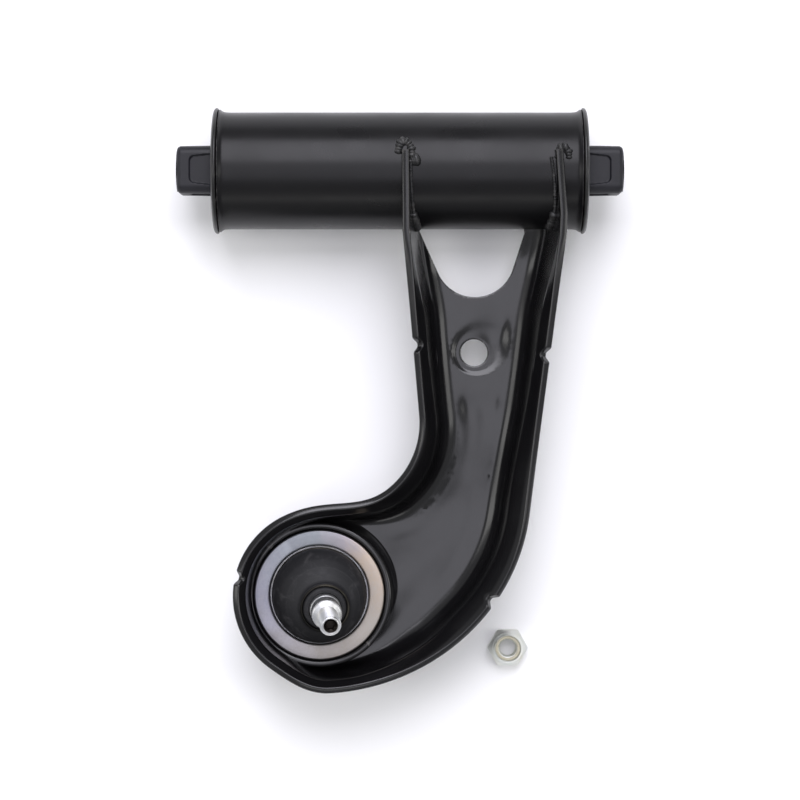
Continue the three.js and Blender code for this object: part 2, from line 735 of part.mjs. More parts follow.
const alongTube = new THREE.Group();
alongTube.rotation.y = Math.PI / 2;
group.add(alongTube);
add('pivot_tube', tube(), 'blackPaint', alongTube);
add('spacer_tube', spacerTube(), 'steel', alongTube);
for (const [side, angle] of [['right', Math.PI / 2], ['left', -Math.PI / 2]]) {
  const end = new THREE.Group();
  end.rotation.y = angle;
  group.add(end);
  add('bush_sleeve_' + side, bushSleeve(), 'blackPaint', end);
  add('bush_rubber_' + side, bushRubber(), 'rubber', end);
  add('bush_nose_' + side, bushNose(), 'blackPlastic', end);
  add('inner_sleeve_' + side, innerSleeve(), 'steel', end);
}

const joint = new THREE.Group();
joint.position.set(ballX, ballY, 0);
group.add(joint);
add('joint_housing', jointHousing(), 'steel', joint);
add('ball_seat_upper', ballSeat(gap, upperSeatHeight), 'seatPlastic', joint);
add('ball_seat_lower', ballSeat(-lowerSeatHeight, -gap), 'seatPlastic', joint);
add('closing_plate', closingPlate(), 'zinc', joint);
add('preload_spring', preloadSpring(), 'steel', joint);
add('retaining_ring', retainingRing(), 'zinc', joint);
add('dust_boot', dustBoot(), 'rubber', joint);
add('boot_lower_clip', wireRing(bootRadius - 1.2 + gap + wireRadius, wireRadius, housingTop + 2.7), 'steel', joint);

const leaning = new THREE.Group();
leaning.position.z = ballZ;
leaning.quaternion.setFromAxisAngle(new THREE.Vector3(-Math.sin(studLean), Math.cos(studLean), 0), studTilt);
joint.add(leaning);
add('stud_ball', new THREE.SphereGeometry(ballRadius, 28, 16), 'steel', leaning);
add('ball_stud', ballStud(), 'steel', leaning);
const clipHeight = housingAboveBall + bootNeckHeight - 1.1;
add('boot_upper_clip', wireRing(bootRadius - 12.4 + 2 * gap + wireRadius, wireRadius, clipHeight), 'steel', leaning);

const loose = new THREE.Group();
loose.position.set(ballX + nutFromBall[0], ballY + nutFromBall[1], restLevel);
group.add(loose);
add('lock_nut', lockNut(), 'zinc', loose);
add('nut_insert', nutInsert(), 'seatPlastic', loose);

export default group;
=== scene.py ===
import json
import math
import bpy
import bmesh
import numpy as np
from mathutils import Matrix, Vector
from mathutils.bvhtree import BVHTree
from mathutils.geometry import delaunay_2d_cdt


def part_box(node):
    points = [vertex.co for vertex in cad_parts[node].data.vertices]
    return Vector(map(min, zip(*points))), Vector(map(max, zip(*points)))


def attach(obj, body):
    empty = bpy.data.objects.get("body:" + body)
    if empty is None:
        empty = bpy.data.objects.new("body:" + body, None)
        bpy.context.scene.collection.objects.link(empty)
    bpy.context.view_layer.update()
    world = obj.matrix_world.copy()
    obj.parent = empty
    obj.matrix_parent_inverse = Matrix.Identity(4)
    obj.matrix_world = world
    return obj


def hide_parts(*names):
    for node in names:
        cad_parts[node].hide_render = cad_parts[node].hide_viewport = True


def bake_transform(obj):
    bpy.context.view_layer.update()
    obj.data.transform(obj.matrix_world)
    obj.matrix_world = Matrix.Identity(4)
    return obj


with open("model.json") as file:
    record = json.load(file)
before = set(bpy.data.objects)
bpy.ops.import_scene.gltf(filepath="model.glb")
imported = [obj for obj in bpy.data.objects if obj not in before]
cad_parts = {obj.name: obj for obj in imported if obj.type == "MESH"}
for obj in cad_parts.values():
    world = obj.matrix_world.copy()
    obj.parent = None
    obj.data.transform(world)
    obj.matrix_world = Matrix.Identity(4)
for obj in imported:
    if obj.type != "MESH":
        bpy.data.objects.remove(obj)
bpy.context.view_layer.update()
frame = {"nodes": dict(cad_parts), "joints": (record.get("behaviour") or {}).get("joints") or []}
mm = 0.001
tau = 2 * math.pi
print("frame loaded")

# Places come from the frame; the script's own sizes are in millimetres.
joints = {joint["name"]: joint for joint in frame["joints"]}


def middle(node):
    low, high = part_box(node)
    return (low + high) / 2


ball = middle("stud_ball")
studAxis = Vector(joints["stud_spin"]["axis"]).normalized()
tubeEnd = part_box("pivot_tube")[1].x
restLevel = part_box("lock_nut")[0].z
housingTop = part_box("joint_housing")[1].z
nutPlace = Vector((middle("lock_nut").x, middle("lock_nut").y, restLevel))


def smoothStep(value, low, high):
    share = np.clip((np.asarray(value, float) - low) / (high - low), 0, 1)
    return share * share * (3 - 2 * share)


def newMesh(name, points, faces, sharpAngle=38):
    mesh = bpy.data.meshes.new(name)
    mesh.from_pydata([tuple(p) for p in points], [], [tuple(f) for f in faces])
    outward(mesh)
    smooth(mesh, sharpAngle)
    return mesh


# Merges doubles, closes what is open and turns every face outward.
def outward(mesh):
    work = bmesh.new()
    work.from_mesh(mesh)
    bmesh.ops.remove_doubles(work, verts=work.verts, dist=1e-7)
    openEdges = [edge for edge in work.edges if edge.is_boundary]
    if openEdges:
        bmesh.ops.holes_fill(work, edges=openEdges, sides=0)
    bmesh.ops.recalc_face_normals(work, faces=work.faces)
    work.to_mesh(mesh)
    work.free()


def smooth(mesh, sharpAngle=38):
    mesh.polygons.foreach_set("use_smooth", [True] * len(mesh.polygons))
    mesh.set_sharp_from_angle(angle=math.radians(sharpAngle))


def newObject(name, mesh):
    piece = bpy.data.objects.new(name, mesh)
    bpy.context.scene.collection.objects.link(piece)
    return piece


# A piece takes its material, its body and the nodes that it stands for.
def finishPiece(piece, material, body, *nodes, slot=None):
    if material is not None:
        piece.data.materials.clear()
        piece.data.materials.append(material)
    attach(piece, body)
    if nodes:
        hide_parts(*nodes)
    return piece


# The frame whose Z runs along a direction, at an origin.
def along(origin, direction):
    turn = Vector((0, 0, 1)).rotation_difference(Vector(direction)).to_matrix().to_4x4()
    return Matrix.Translation(Vector(origin)) @ turn


# Rounds the corners of a closed or open profile with short arcs.
def softened(profile, radius, steps=4, closed=True):
    points = [np.array(p, float) for p in profile]
    count = len(points)
    made = []
    for i, here in enumerate(points):
        if not closed and i in (0, count - 1):
            made.append(here)
            continue
        before, after = points[i - 1] - here, points[(i + 1) % count] - here
        reach = min(radius, 0.45 * np.linalg.norm(before), 0.45 * np.linalg.norm(after))
        start = here + before / np.linalg.norm(before) * reach
        end = here + after / np.linalg.norm(after) * reach
        for k in range(steps + 1):
            t = k / steps
            made.append((1 - t) ** 2 * start + 2 * t * (1 - t) * here + t * t * end)
    return made


# Rings of points joined into a tube of quads; closed profiles come back to their first ring.
def ringFaces(rings, around, closed):
    faces = []
    for j in range(rings if closed else rings - 1):
        for i in range(around):
            a, b = j * around + i, j * around + (i + 1) % around
            c, d = ((j + 1) % rings) * around + (i + 1) % around, ((j + 1) % rings) * around + i
            faces.append((a, b, c, d))
    return faces


# A profile of [radius, height] in millimetres turned about Z: up its outer side, down its inner side.
def turned(profile, around=128, closed=True):
    profile = np.array(profile, float) * mm
    angles = np.arange(around) * tau / around
    points = [(r * math.cos(a), r * math.sin(a), h) for r, h in profile for a in angles]
    faces = ringFaces(len(profile), around, closed)
    if not closed:
        last = (len(profile) - 1) * around
        faces.append(tuple(reversed(range(around))))
        faces.append(tuple(last + i for i in range(around)))
    return np.array(points), faces


def moved(points, matrix):
    turn = np.array(matrix.to_3x3())
    return np.asarray(points) @ turn.T + np.array(matrix.translation)


def turnedPiece(name, profile, matrix, rounding=0.4, around=128, closed=True):
    points, faces = turned(softened(profile, rounding, closed=closed), around, closed)
    return newObject(name, newMesh(name, moved(points, matrix), faces))


def plainMesh(piece):
    graph = bpy.context.evaluated_depsgraph_get()
    mesh = bpy.data.meshes.new_from_object(piece.evaluated_get(graph))
    piece.modifiers.clear()
    piece.data = mesh
    return piece


# Cuts or joins with another object, which is then gone.
def combine(piece, other, operation):
    step = piece.modifiers.new(operation.lower(), "BOOLEAN")
    step.operation = operation
    step.object = other
    step.solver = "EXACT"
    plainMesh(piece)
    bpy.data.objects.remove(other)
    return piece


# A material of one shader, with short ways to make and join its nodes.
class Graph:
    def __init__(self, name):
        self.material = bpy.data.materials.new(name)
        self.material.use_nodes = True
        self.tree = self.material.node_tree
        self.tree.nodes.clear()
        output = self.tree.nodes.new("ShaderNodeOutputMaterial")
        self.shader = self.tree.nodes.new("ShaderNodeBsdfPrincipled")
        self.tree.links.new(self.shader.outputs[0], output.inputs[0])

    def node(self, kind, values=None, **settings):
        made = self.tree.nodes.new("ShaderNode" + kind)
        for key, value in settings.items():
            setattr(made, key, value)
        for key, value in (values or {}).items():
            self.put(value, made.inputs[key])
        return made

    def put(self, value, socket):
        if isinstance(value, bpy.types.NodeSocket):
            self.tree.links.new(value, socket)
        else:
            socket.default_value = value

    def noise(self, scale, detail=4, roughness=0.55, vector=None, distortion=0.0):
        made = self.node("TexNoise", {"Scale": scale, "Detail": detail, "Roughness": roughness,
                                      "Distortion": distortion})
        self.put(vector or self.place(), made.inputs["Vector"])
        return made.outputs["Fac"]

    def place(self, centre=(0, 0, 0), turn=(0, 0, 0)):
        source = self.node("TexCoord").outputs["Object"]
        shift = self.node("Mapping", {"Vector": source, "Rotation": turn})
        shift.vector_type = "TEXTURE"
        shift.inputs["Location"].default_value = centre
        return shift.outputs["Vector"]

    def spread(self, value, low, high, toLow=0.0, toHigh=1.0):
        made = self.node("MapRange", {"Value": value, "From Min": low, "From Max": high,
                                      "To Min": toLow, "To Max": toHigh})
        return made.outputs["Result"]

    def mix(self, share, first, second):
        made = self.node("Mix", data_type="RGBA")
        self.put(share, made.inputs["Factor"])
        self.put(first, made.inputs["A"])
        self.put(second, made.inputs["B"])
        return [s for s in made.outputs if s.type == "RGBA"][0]

    def maths(self, operation, first, second=0.0):
        made = self.node("Math", operation=operation)
        self.put(first, made.inputs[0])
        self.put(second, made.inputs[1])
        return made.outputs[0]

    def bump(self, height, strength, distance, normal=None):
        made = self.node("Bump", {"Height": height, "Strength": strength, "Distance": distance})
        if normal is not None:
            self.put(normal, made.inputs["Normal"])
        return made.outputs["Normal"]

    def set(self, **values):
        for key, value in values.items():
            self.put(value, self.shader.inputs[key.replace("_", " ")])
        return self.material


paintLook = {
    "colour": (0.0048, 0.0046, 0.0052, 1),
    "dust": (0.055, 0.052, 0.055, 1),
    "roughness": (0.13, 0.24),
    "peel": 900,
    "peelDepth": 0.02 * mm,
    "rubbed": (0.085, 0.08, 0.076, 1),
}


# Dipped paint: a faint orange peel, dust in the film and edges rubbed thin.
def blackPaint(name, look=paintLook, lift=0.0, gloss=1.52):
    graph = Graph(name)
    broad = graph.noise(38, 5)
    fine = graph.noise(look["peel"], 3)
    specks = graph.noise(2600, 2, 0.4)
    dust = graph.spread(specks, 0.73, 0.8, 0.0, 0.55)
    colour = graph.mix(dust, look["colour"], look["dust"])
    rough = graph.spread(broad, 0.3, 0.7, look["roughness"][0] + lift, look["roughness"][1] + lift)
    ridge = graph.node("NewGeometry").outputs["Pointiness"]
    worn = graph.spread(graph.noise(420, 4), 0.45, 0.65)
    rubbed = graph.maths("MULTIPLY", graph.spread(ridge, 0.53, 0.6), worn)
    colour = graph.mix(rubbed, colour, look["rubbed"])
    normal = graph.bump(fine, 0.25, look["peelDepth"])
    normal = graph.bump(broad, 0.12, 0.25 * mm, normal)
    return graph.set(Base_Color=colour, Roughness=rough, Normal=normal, IOR=gloss)


def weldLook():
    graph = Graph("coatedWeld")
    grain = graph.noise(900, 6, 0.7)
    blotch = graph.noise(260, 3)
    colour = graph.mix(graph.spread(blotch, 0.5, 0.75), (0.006, 0.006, 0.0065, 1), (0.05, 0.048, 0.046, 1))
    rough = graph.spread(grain, 0.3, 0.7, 0.28, 0.62)
    normal = graph.bump(grain, 0.6, 0.25 * mm)
    return graph.set(Base_Color=colour, Roughness=rough, Normal=normal)


def rubberLook(name, colour, worn):
    graph = Graph(name)
    scuff = graph.noise(150, 6, 0.65, distortion=0.6)
    grain = graph.noise(2200, 3)
    tint = graph.mix(graph.spread(scuff, 0.52, 0.78), colour, worn)
    rough = graph.spread(scuff, 0.3, 0.7, 0.5, 0.72)
    normal = graph.bump(grain, 0.35, 0.05 * mm)
    return graph.set(Base_Color=tint, Roughness=rough, Normal=normal, IOR=1.38)


def plasticLook():
    graph = Graph("blackMoulding")
    grain = graph.noise(1500, 4)
    haze = graph.noise(70, 4)
    tint = graph.mix(graph.spread(haze, 0.4, 0.8), (0.008, 0.008, 0.011, 1), (0.02, 0.02, 0.025, 1))
    rough = graph.spread(haze, 0.3, 0.7, 0.38, 0.55)
    normal = graph.bump(grain, 0.3, 0.06 * mm)
    return graph.set(Base_Color=tint, Roughness=rough, Normal=normal, IOR=1.36)


# Turned metal: fine grooves round an axis, in two tints with a third and some stain.
# Within a radius of the axis, given by the last argument, it is darkened: painted shade standing in for the
# shade in a stud's key socket.
def turnedMetal(name, centre, colours, roughness, grooves, depth, tintScale, axis=(0, 0, 1), socketShade=0.0):
    graph = Graph(name)
    lean = Vector((0, 0, 1)).rotation_difference(Vector(axis)).to_euler()
    spot = graph.place(centre, tuple(lean))
    wave = graph.node("TexWave", {"Vector": spot, "Scale": grooves, "Distortion": 0.6, "Detail": 2.0,
                                  "Detail Scale": 1.5}, wave_type="RINGS", rings_direction="Z")
    blotch = graph.noise(tintScale, 3, 0.5, spot, 0.5)
    stain = graph.noise(tintScale * 9, 5, 0.6, spot)
    tint = graph.mix(graph.spread(blotch, 0.36, 0.5), colours[0], colours[1])
    tint = graph.mix(graph.spread(blotch, 0.5, 0.66), tint, colours[2])
    tint = graph.mix(graph.spread(stain, 0.56, 0.8, 0.0, 0.35), tint, colours[3])
    rough = graph.spread(stain, 0.3, 0.7, roughness[0], roughness[1])
    normal = graph.bump(wave.outputs["Fac"], 0.5, depth * mm)
    if socketShade:
        # Painted shade: within this radius of the axis the colour turns dark brown, standing in for the shade
        # in the stud's key socket.
        flat = graph.node("VectorMath", {0: spot, 1: (1, 1, 0)}, operation="MULTIPLY")
        reach = graph.node("VectorMath", {0: flat.outputs[0]}, operation="LENGTH").outputs["Value"]
        tint = graph.mix(graph.spread(reach, (socketShade - 0.3) * mm, socketShade * mm), (0.035, 0.03, 0.027, 1), tint)
    return graph.set(Base_Color=tint, Roughness=rough, Normal=normal, Metallic=1.0)


zincColours = [(0.34, 0.345, 0.40, 1), (0.40, 0.385, 0.39, 1), (0.52, 0.47, 0.41, 1), (0.28, 0.28, 0.27, 1)]
steelColours = [(0.55, 0.56, 0.58, 1), (0.62, 0.62, 0.62, 1), (0.58, 0.57, 0.54, 1), (0.35, 0.34, 0.33, 1)]
darkSteel = [(0.2, 0.2, 0.21, 1), (0.25, 0.25, 0.26, 1), (0.24, 0.22, 0.2, 1), (0.12, 0.11, 0.1, 1)]
nutColours = [(0.72, 0.74, 0.72, 1), (0.78, 0.79, 0.74, 1), (0.8, 0.78, 0.68, 1), (0.55, 0.57, 0.5, 1)]
cupColours = [(0.3, 0.3, 0.31, 1), (0.34, 0.34, 0.35, 1), (0.32, 0.31, 0.29, 1), (0.2, 0.19, 0.18, 1)]
wireColours = [(0.015, 0.015, 0.014, 1), (0.03, 0.028, 0.025, 1), (0.12, 0.11, 0.085, 1),
               (0.02, 0.02, 0.02, 1)]

paint = blackPaint("blackPaint")
tubePaint = blackPaint("tubePaint", dict(paintLook, peel=1400), 0.12, 1.31)
sleevePaint = blackPaint("sleevePaint", dict(paintLook, colour=(0.01, 0.0102, 0.0098, 1)), 0.14, 1.42)
weldMetal = weldLook()
bootRubber = rubberLook("bootRubber", (0.012, 0.012, 0.0135, 1), (0.04, 0.039, 0.041, 1))
bushRubber = rubberLook("bushRubber", (0.012, 0.012, 0.012, 1), (0.035, 0.034, 0.033, 1))
moulding = plasticLook()
nutZinc = turnedMetal("nutZinc", nutPlace, nutColours, (0.38, 0.5), 1500, 0.003, 60)
cupSteel = turnedMetal("cupSteel", ball, cupColours, (0.3, 0.46), 1200, 0.005, 30)
plateZinc = turnedMetal("plateZinc", ball, zincColours, (0.3, 0.46), 1600, 0.004, 40)
wireSteel = turnedMetal("wireSteel", ball, wireColours, (0.4, 0.6), 2600, 0.001, 24)


# Zinc whose film shifts in tint round the ring, from grey-lilac over bluish to peach.
def filmZinc():
    graph = Graph("ringZinc")
    spot = graph.place(ball)
    axes = graph.node("SeparateXYZ", {"Vector": spot}).outputs
    angle = graph.maths("ARCTAN2", axes["Y"], axes["X"])
    blotch = graph.noise(55, 4, 0.6, spot, 1.0)
    drift = graph.spread(blotch, 0.3, 0.7, -0.05, 0.05)
    wander = graph.maths("ADD", graph.spread(angle, -math.pi, math.pi), drift)
    film = graph.node("ValToRGB", {"Fac": wander})
    ramp = film.color_ramp
    stops = [(0.0, (0.21, 0.208, 0.25)), (0.25, (0.225, 0.208, 0.195)), (0.46, (0.32, 0.29, 0.255)),
             (0.6, (0.40, 0.325, 0.26)), (0.7, (0.31, 0.285, 0.31)), (0.8, (0.265, 0.285, 0.31))]
    for at, colour in stops:
        spotOnRamp = ramp.elements.new(at) if at > 0 else ramp.elements[0]
        spotOnRamp.color = (*colour, 1)
    ramp.elements[-1].color = (0.21, 0.208, 0.25, 1)
    fine = graph.noise(900, 5, 0.7, spot)
    tint = graph.mix(graph.spread(fine, 0.35, 0.75, 0.0, 0.35), film.outputs[0], (0.33, 0.33, 0.33, 1))
    wave = graph.node("TexWave", {"Vector": spot, "Scale": 2400.0, "Distortion": 0.8, "Detail": 2.0},
                      wave_type="RINGS", rings_direction="Z")
    normal = graph.bump(wave.outputs["Fac"], 0.5, 0.004 * mm)
    normal = graph.bump(fine, 0.3, 0.03 * mm, normal)
    rough = graph.spread(blotch, 0.3, 0.7, 0.32, 0.46)
    return graph.set(Base_Color=tint, Roughness=rough, Normal=normal, Metallic=1.0)


ringZinc = filmZinc()
studSteel = turnedMetal("studSteel", ball, steelColours, (0.3, 0.48), 1500, 0.006, 70, studAxis, 3.5)
hiddenSteel = turnedMetal("hiddenSteel", (0, 0, 0), darkSteel, (0.35, 0.55), 900, 0.006, 30)
seatPlastic = rubberLook("seatPlastic", (0.62, 0.58, 0.48, 1), (0.5, 0.46, 0.38, 1))
insertPlastic = rubberLook("insertPlastic", (0.5, 0.47, 0.36, 1), (0.42, 0.39, 0.3, 1))
print("materials made")


armSizes = {
    "earInset": 8.0, "earSpan": 76.4, "sheet": 3.5, "draft": 8.0, "lip": 32.0, "lipRun": 6.0, "bend": 5.0,
    "fillet": 8.0, "headFillet": 3.0, "edgeRound": 0.8,
    "hornWeb": -2.0, "midWeb": -8.0, "hornRun": 21.0, "earEnd": 7.5,
    "headMargin": 7.5, "neckRadius": 39.1, "elbow": (100.9, 95.1),
    "cutoutRadius": 19.0, "hornWidths": (8.5, 18.0),
    "holeRadius": 6.4, "seatRadius": 9.8, "seatDepth": 0.8,
    "notchDepth": 3.4, "notchWidth": 6.6, "wideLip": 4.2, "wideLipAngle": 11.0,
    "bowlDepth": (0.55, 1.0), "bowlWidth": (9.0, 9.0), "bowlReturn": 34.0, "swell": 0.08,
}
tubeRadius = 27.5
earRight = tubeEnd / mm - armSizes["earInset"]
earLeft = earRight - armSizes["earSpan"]
ballX, ballY = ball.x / mm, ball.y / mm
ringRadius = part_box("retaining_ring")[1].x / mm - ballX
collarInner = ringRadius + 0.35
collarOuter = collarInner + 3.2
headRadius = collarOuter + armSizes["headMargin"]
headX, headY = ballX + 1.6, ballY + 0.6
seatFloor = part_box("joint_housing")[1].z / mm - 4.5
headWeb = seatFloor - armSizes["sheet"]
armTop = headWeb + 30.5
cutoutX = (earLeft + earRight + armSizes["hornWidths"][0] - armSizes["hornWidths"][1]) / 2 + 1.3
cutoutY = -tubeRadius - 12.7
holeX, holeY = cutoutX - 0.3, cutoutY - armSizes["cutoutRadius"] - 26.5


def arcPoints(centre, radii, start, end, pitch=0.25):
    count = max(8, int(abs(end - start) * max(radii) / pitch))
    angles = np.linspace(start, end, count)
    return np.c_[centre[0] + radii[0] * np.cos(angles), centre[1] + radii[1] * np.sin(angles)]


def bezierPoints(a, b, c, d, count=240):
    t = np.linspace(0, 1, count)[:, None]
    a, b, c, d = (np.array(p, float) for p in (a, b, c, d))
    return (1 - t) ** 3 * a + 3 * (1 - t) ** 2 * t * b + 3 * (1 - t) * t * t * c + t ** 3 * d


def linePoints(a, b, pitch=0.25):
    count = max(2, int(math.dist(a, b) / pitch))
    return np.linspace(a, b, count)


# Angle at which a line from a point touches an ellipse.
def touchAngle(point, centre, radii, side):
    across, up = (point[0] - centre[0]) / radii[0], (point[1] - centre[1]) / radii[1]
    return math.atan2(up, across) + side * math.acos(1 / math.hypot(across, up))


# The outline of the cut edge, and the distances along it at which its notches sit.
def armOutline():
    s = armSizes
    neck, neckRadii = (headX + 6.2, headY + 80.9), (s["neckRadius"],) * 2
    elbow, elbowRadii = (headX - 2.7, headY + 49.2), s["elbow"]
    leftFoot, rightFoot = (earLeft + 0.2, -tubeRadius - 2), (earRight, -tubeRadius - 4)
    neckTouch = touchAngle(leftFoot, neck, neckRadii, -1)
    elbowTouch = touchAngle(rightFoot, elbow, elbowRadii, -1)
    neckEnd, headStart, headEnd, elbowStart = (math.radians(a) for a in (-50, 117, 235, -86))
    neckArc = arcPoints(neck, neckRadii, neckTouch, neckEnd)
    headArc = arcPoints((headX, headY), (headRadius,) * 2, headStart, headEnd)
    elbowArc = arcPoints(elbow, elbowRadii, elbowStart, elbowTouch)
    chord = math.dist(neckArc[-1], headArc[0])
    saddle = bezierPoints(
        neckArc[-1], neckArc[-1] + 0.35 * chord * np.array([math.sin(neckEnd), -math.cos(neckEnd)]),
        headArc[0] + 0.45 * chord * np.array([math.sin(headStart), -math.cos(headStart)]), headArc[0])
    base = bezierPoints(
        headArc[-1], headArc[-1] + 11 * np.array([-math.sin(headEnd), math.cos(headEnd)]),
        elbowArc[0] + np.array([-11, -0.7]), elbowArc[0])
    runs = [
        linePoints((earLeft - 0.1, s["earEnd"]), leftFoot), linePoints(leftFoot, neckArc[0]), neckArc, saddle,
        headArc, base, elbowArc, linePoints(elbowArc[-1], rightFoot),
        linePoints(rightFoot, (earRight + 0.4, -tubeRadius + 6)),
        linePoints((earRight + 0.4, -tubeRadius + 6), (earRight - 1.6, s["earEnd"])),
    ]
    notched = {1: 0.62, 4: 0.43, 6: 0.67, 7: 0.57}  # runs that have a notch, and how far along it sits
    points, notches, length = [runs[0][:1]], [], 0.0
    for i, run in enumerate(runs):
        span = np.linalg.norm(np.diff(run, axis=0), axis=1).sum()
        if i in notched:
            notches.append(length + notched[i] * span)
        length += span
        points.append(run[1:])
    return np.vstack(points), notches


# Stations along the outline: place, inward heading and depth of the notch there.
def armStations():
    points, notches = armOutline()
    run = np.r_[0, np.cumsum(np.linalg.norm(np.diff(points, axis=0), axis=1))]
    half = armSizes["notchWidth"] / 2
    spots = list(np.arange(0, run[-1], 1.9)) + [run[-1]]
    for notch in notches:
        spots = [x for x in spots if abs(x - notch) > half + 1.5]
        spots += list(notch + np.linspace(-half - 1, half + 1, 25))
    spots = np.array(sorted(spots))
    place = np.c_[np.interp(spots, run, points[:, 0]), np.interp(spots, run, points[:, 1])]
    ahead = np.c_[np.interp(spots + 1.5, run, points[:, 0]), np.interp(spots + 1.5, run, points[:, 1])]
    behind = np.c_[np.interp(spots - 1.5, run, points[:, 0]), np.interp(spots - 1.5, run, points[:, 1])]
    heading = ahead - behind
    heading /= np.linalg.norm(heading, axis=1)[:, None]
    inward = np.c_[-heading[:, 1], heading[:, 0]]
    depth = np.zeros(len(spots))
    for notch in notches:
        depth = np.maximum(depth, smoothStep(-np.abs(spots - notch), -1.15 * half, -0.15 * half))
    return place, inward, depth * armSizes["notchDepth"]


def webAt(y):
    s = armSizes
    horn = smoothStep(-np.asarray(y), tubeRadius - 12, tubeRadius + s["hornRun"])
    head = smoothStep(-np.asarray(y), -0.55 * ballY, -0.83 * ballY)
    level = s["hornWeb"] + (s["midWeb"] - s["hornWeb"]) * horn
    return level + (headWeb - level) * head


def edgeAt(y):
    ear = tubeRadius + 3
    return ear + (armTop - ear) * smoothStep(-np.asarray(y), 0.7 * tubeRadius, -0.8 * ballY)


# Inner and outer side of the wall at every station, from the cut edge down to the web.
def wallSides():
    s = armSizes
    place, inward, cut = armStations()
    count = len(place)
    fromBall = np.hypot(place[:, 0] - ballX, place[:, 1] - ballY)
    atHead = smoothStep(headRadius + 20 - fromBall, 0, 18)
    awayFromEar = smoothStep(-place[:, 1], tubeRadius, tubeRadius + 45)
    draft = np.full(count, math.radians(s["draft"]))
    lip = draft + (math.radians(s["lip"]) - draft) * awayFromEar
    lipRun = 2 + (s["lipRun"] - 2) * awayFromEar * (1 - 0.3 * atHead)
    # the lip is widest and most open low on the round side
    roundSide = smoothStep(place[:, 0], -25, 10)
    openness = roundSide * smoothStep(-place[:, 1], 75, 165) * (1 - 0.6 * smoothStep(-place[:, 1], 215, 240))
    lipRun = lipRun + s["wideLip"] * openness
    lip = lip + math.radians(s["wideLipAngle"]) * np.maximum(openness, 0.4 * awayFromEar * roundSide)
    cut = np.minimum(cut, lipRun - 1.2)
    fillet = s["fillet"] + (s["headFillet"] - s["fillet"]) * atHead
    base = webAt(place[:, 1] + inward[:, 1] * 14)
    height = edgeAt(place[:, 1]) - base
    sheet, bend, edge = s["sheet"], s["bend"], s["edgeRound"]
    wall = (height - lipRun * np.cos(lip) - bend * (np.sin(lip) - np.sin(draft))
            - fillet * (1 - np.sin(draft))) / np.cos(draft)
    top = np.stack([sheet * np.cos(lip), height], 1)
    down = np.stack([np.sin(lip), -np.cos(lip)], 1)
    out = np.stack([-np.cos(lip), -np.sin(lip)], 1)
    lowLip = top + down * lipRun[:, None]
    inner, outer = [], []

    def both(point, angle):
        inner.append(point)
        outer.append(point - sheet * np.stack([np.cos(angle), np.sin(angle)], 1))

    for k in range(4):
        fromTop = cut + edge + (lipRun - cut - edge) * k / 3
        both(top + down * fromTop[:, None], lip)
    here = lowLip
    for k in range(1, 6):
        angle = lip + (draft - lip) * k / 5
        both(here + bend * np.stack([np.cos(angle) - np.cos(lip), np.sin(angle) - np.sin(lip)], 1), angle)
    here = inner[-1]
    for k in range(1, 6):
        both(here + np.stack([np.sin(draft), -np.cos(draft)], 1) * (wall * k / 5)[:, None], draft)
    here = inner[-1]
    for k in range(1, 9):
        angle = draft + (math.pi / 2 - draft) * k / 8
        step = np.stack([np.cos(draft) - np.cos(angle), np.sin(draft) - np.sin(angle)], 1)
        both(here + fillet[:, None] * step, angle)
    start = top + down * cut[:, None]
    rim = []
    for k in range(1, 4):
        a = math.pi / 2 * k / 4
        rim.append(start + down * edge * (1 - math.sin(a)) + out * edge * (1 - math.cos(a)))
    rim.append(start + out * edge)
    rim.append(start + out * (sheet - edge))
    for k in range(3, 0, -1):
        a = math.pi / 2 * k / 4
        rim.append(start + down * edge * (1 - math.sin(a)) + out * (sheet - edge * (1 - math.cos(a))))
    section = inner[::-1] + rim + outer
    rows = []
    for point in section:
        flat = place + inward * point[:, :1]
        rows.append(np.c_[flat, base + point[:, 1]])
    return np.stack(rows, 1)


def insidePolygon(points, loop):
    x, y = points[:, 0], points[:, 1]
    inside = np.zeros(len(points), bool)
    before = loop[-1]
    for here in loop:
        crosses = (here[1] > y) != (before[1] > y)
        slope = (before[0] - here[0]) / (before[1] - here[1] + 1e-12)
        inside ^= crosses & (x < here[0] + slope * (y - here[1]))
        before = here
    return inside


def cutoutLoop(widen):
    s = armSizes
    radius = s["cutoutRadius"] + widen
    top = -tubeRadius - 1
    left = (earLeft + s["hornWidths"][0] - widen, top)
    right = (earRight - s["hornWidths"][1] + widen, top)
    start = touchAngle(left, (cutoutX, cutoutY), (radius,) * 2, 1)
    end = touchAngle(right, (cutoutX, cutoutY), (radius,) * 2, -1)
    arc = arcPoints((cutoutX, cutoutY), (radius,) * 2, start, end + tau)
    arc = arc[np.linspace(0, len(arc) - 1, 72).astype(int)]
    back = s["earEnd"] + 3
    ends = [np.linspace((left[0], back), left, 14), np.linspace(right, (right[0], back), 14)]
    slant = [np.linspace(left, arc[0], 8)[1:-1], np.linspace(arc[-1], right, 8)[1:-1]]
    return np.vstack([ends[0], slant[0], arc, slant[1], ends[1]])


# Shallow dents that the press leaves in the web: place, depth and width.
pressMarks = [
    (holeX + 12, holeY + 8, 1.2, 6.5), (holeX - 2, holeY - 26, 0.8, 4.4), (holeX + 9, holeY - 24, 0.6, 4.2),
]


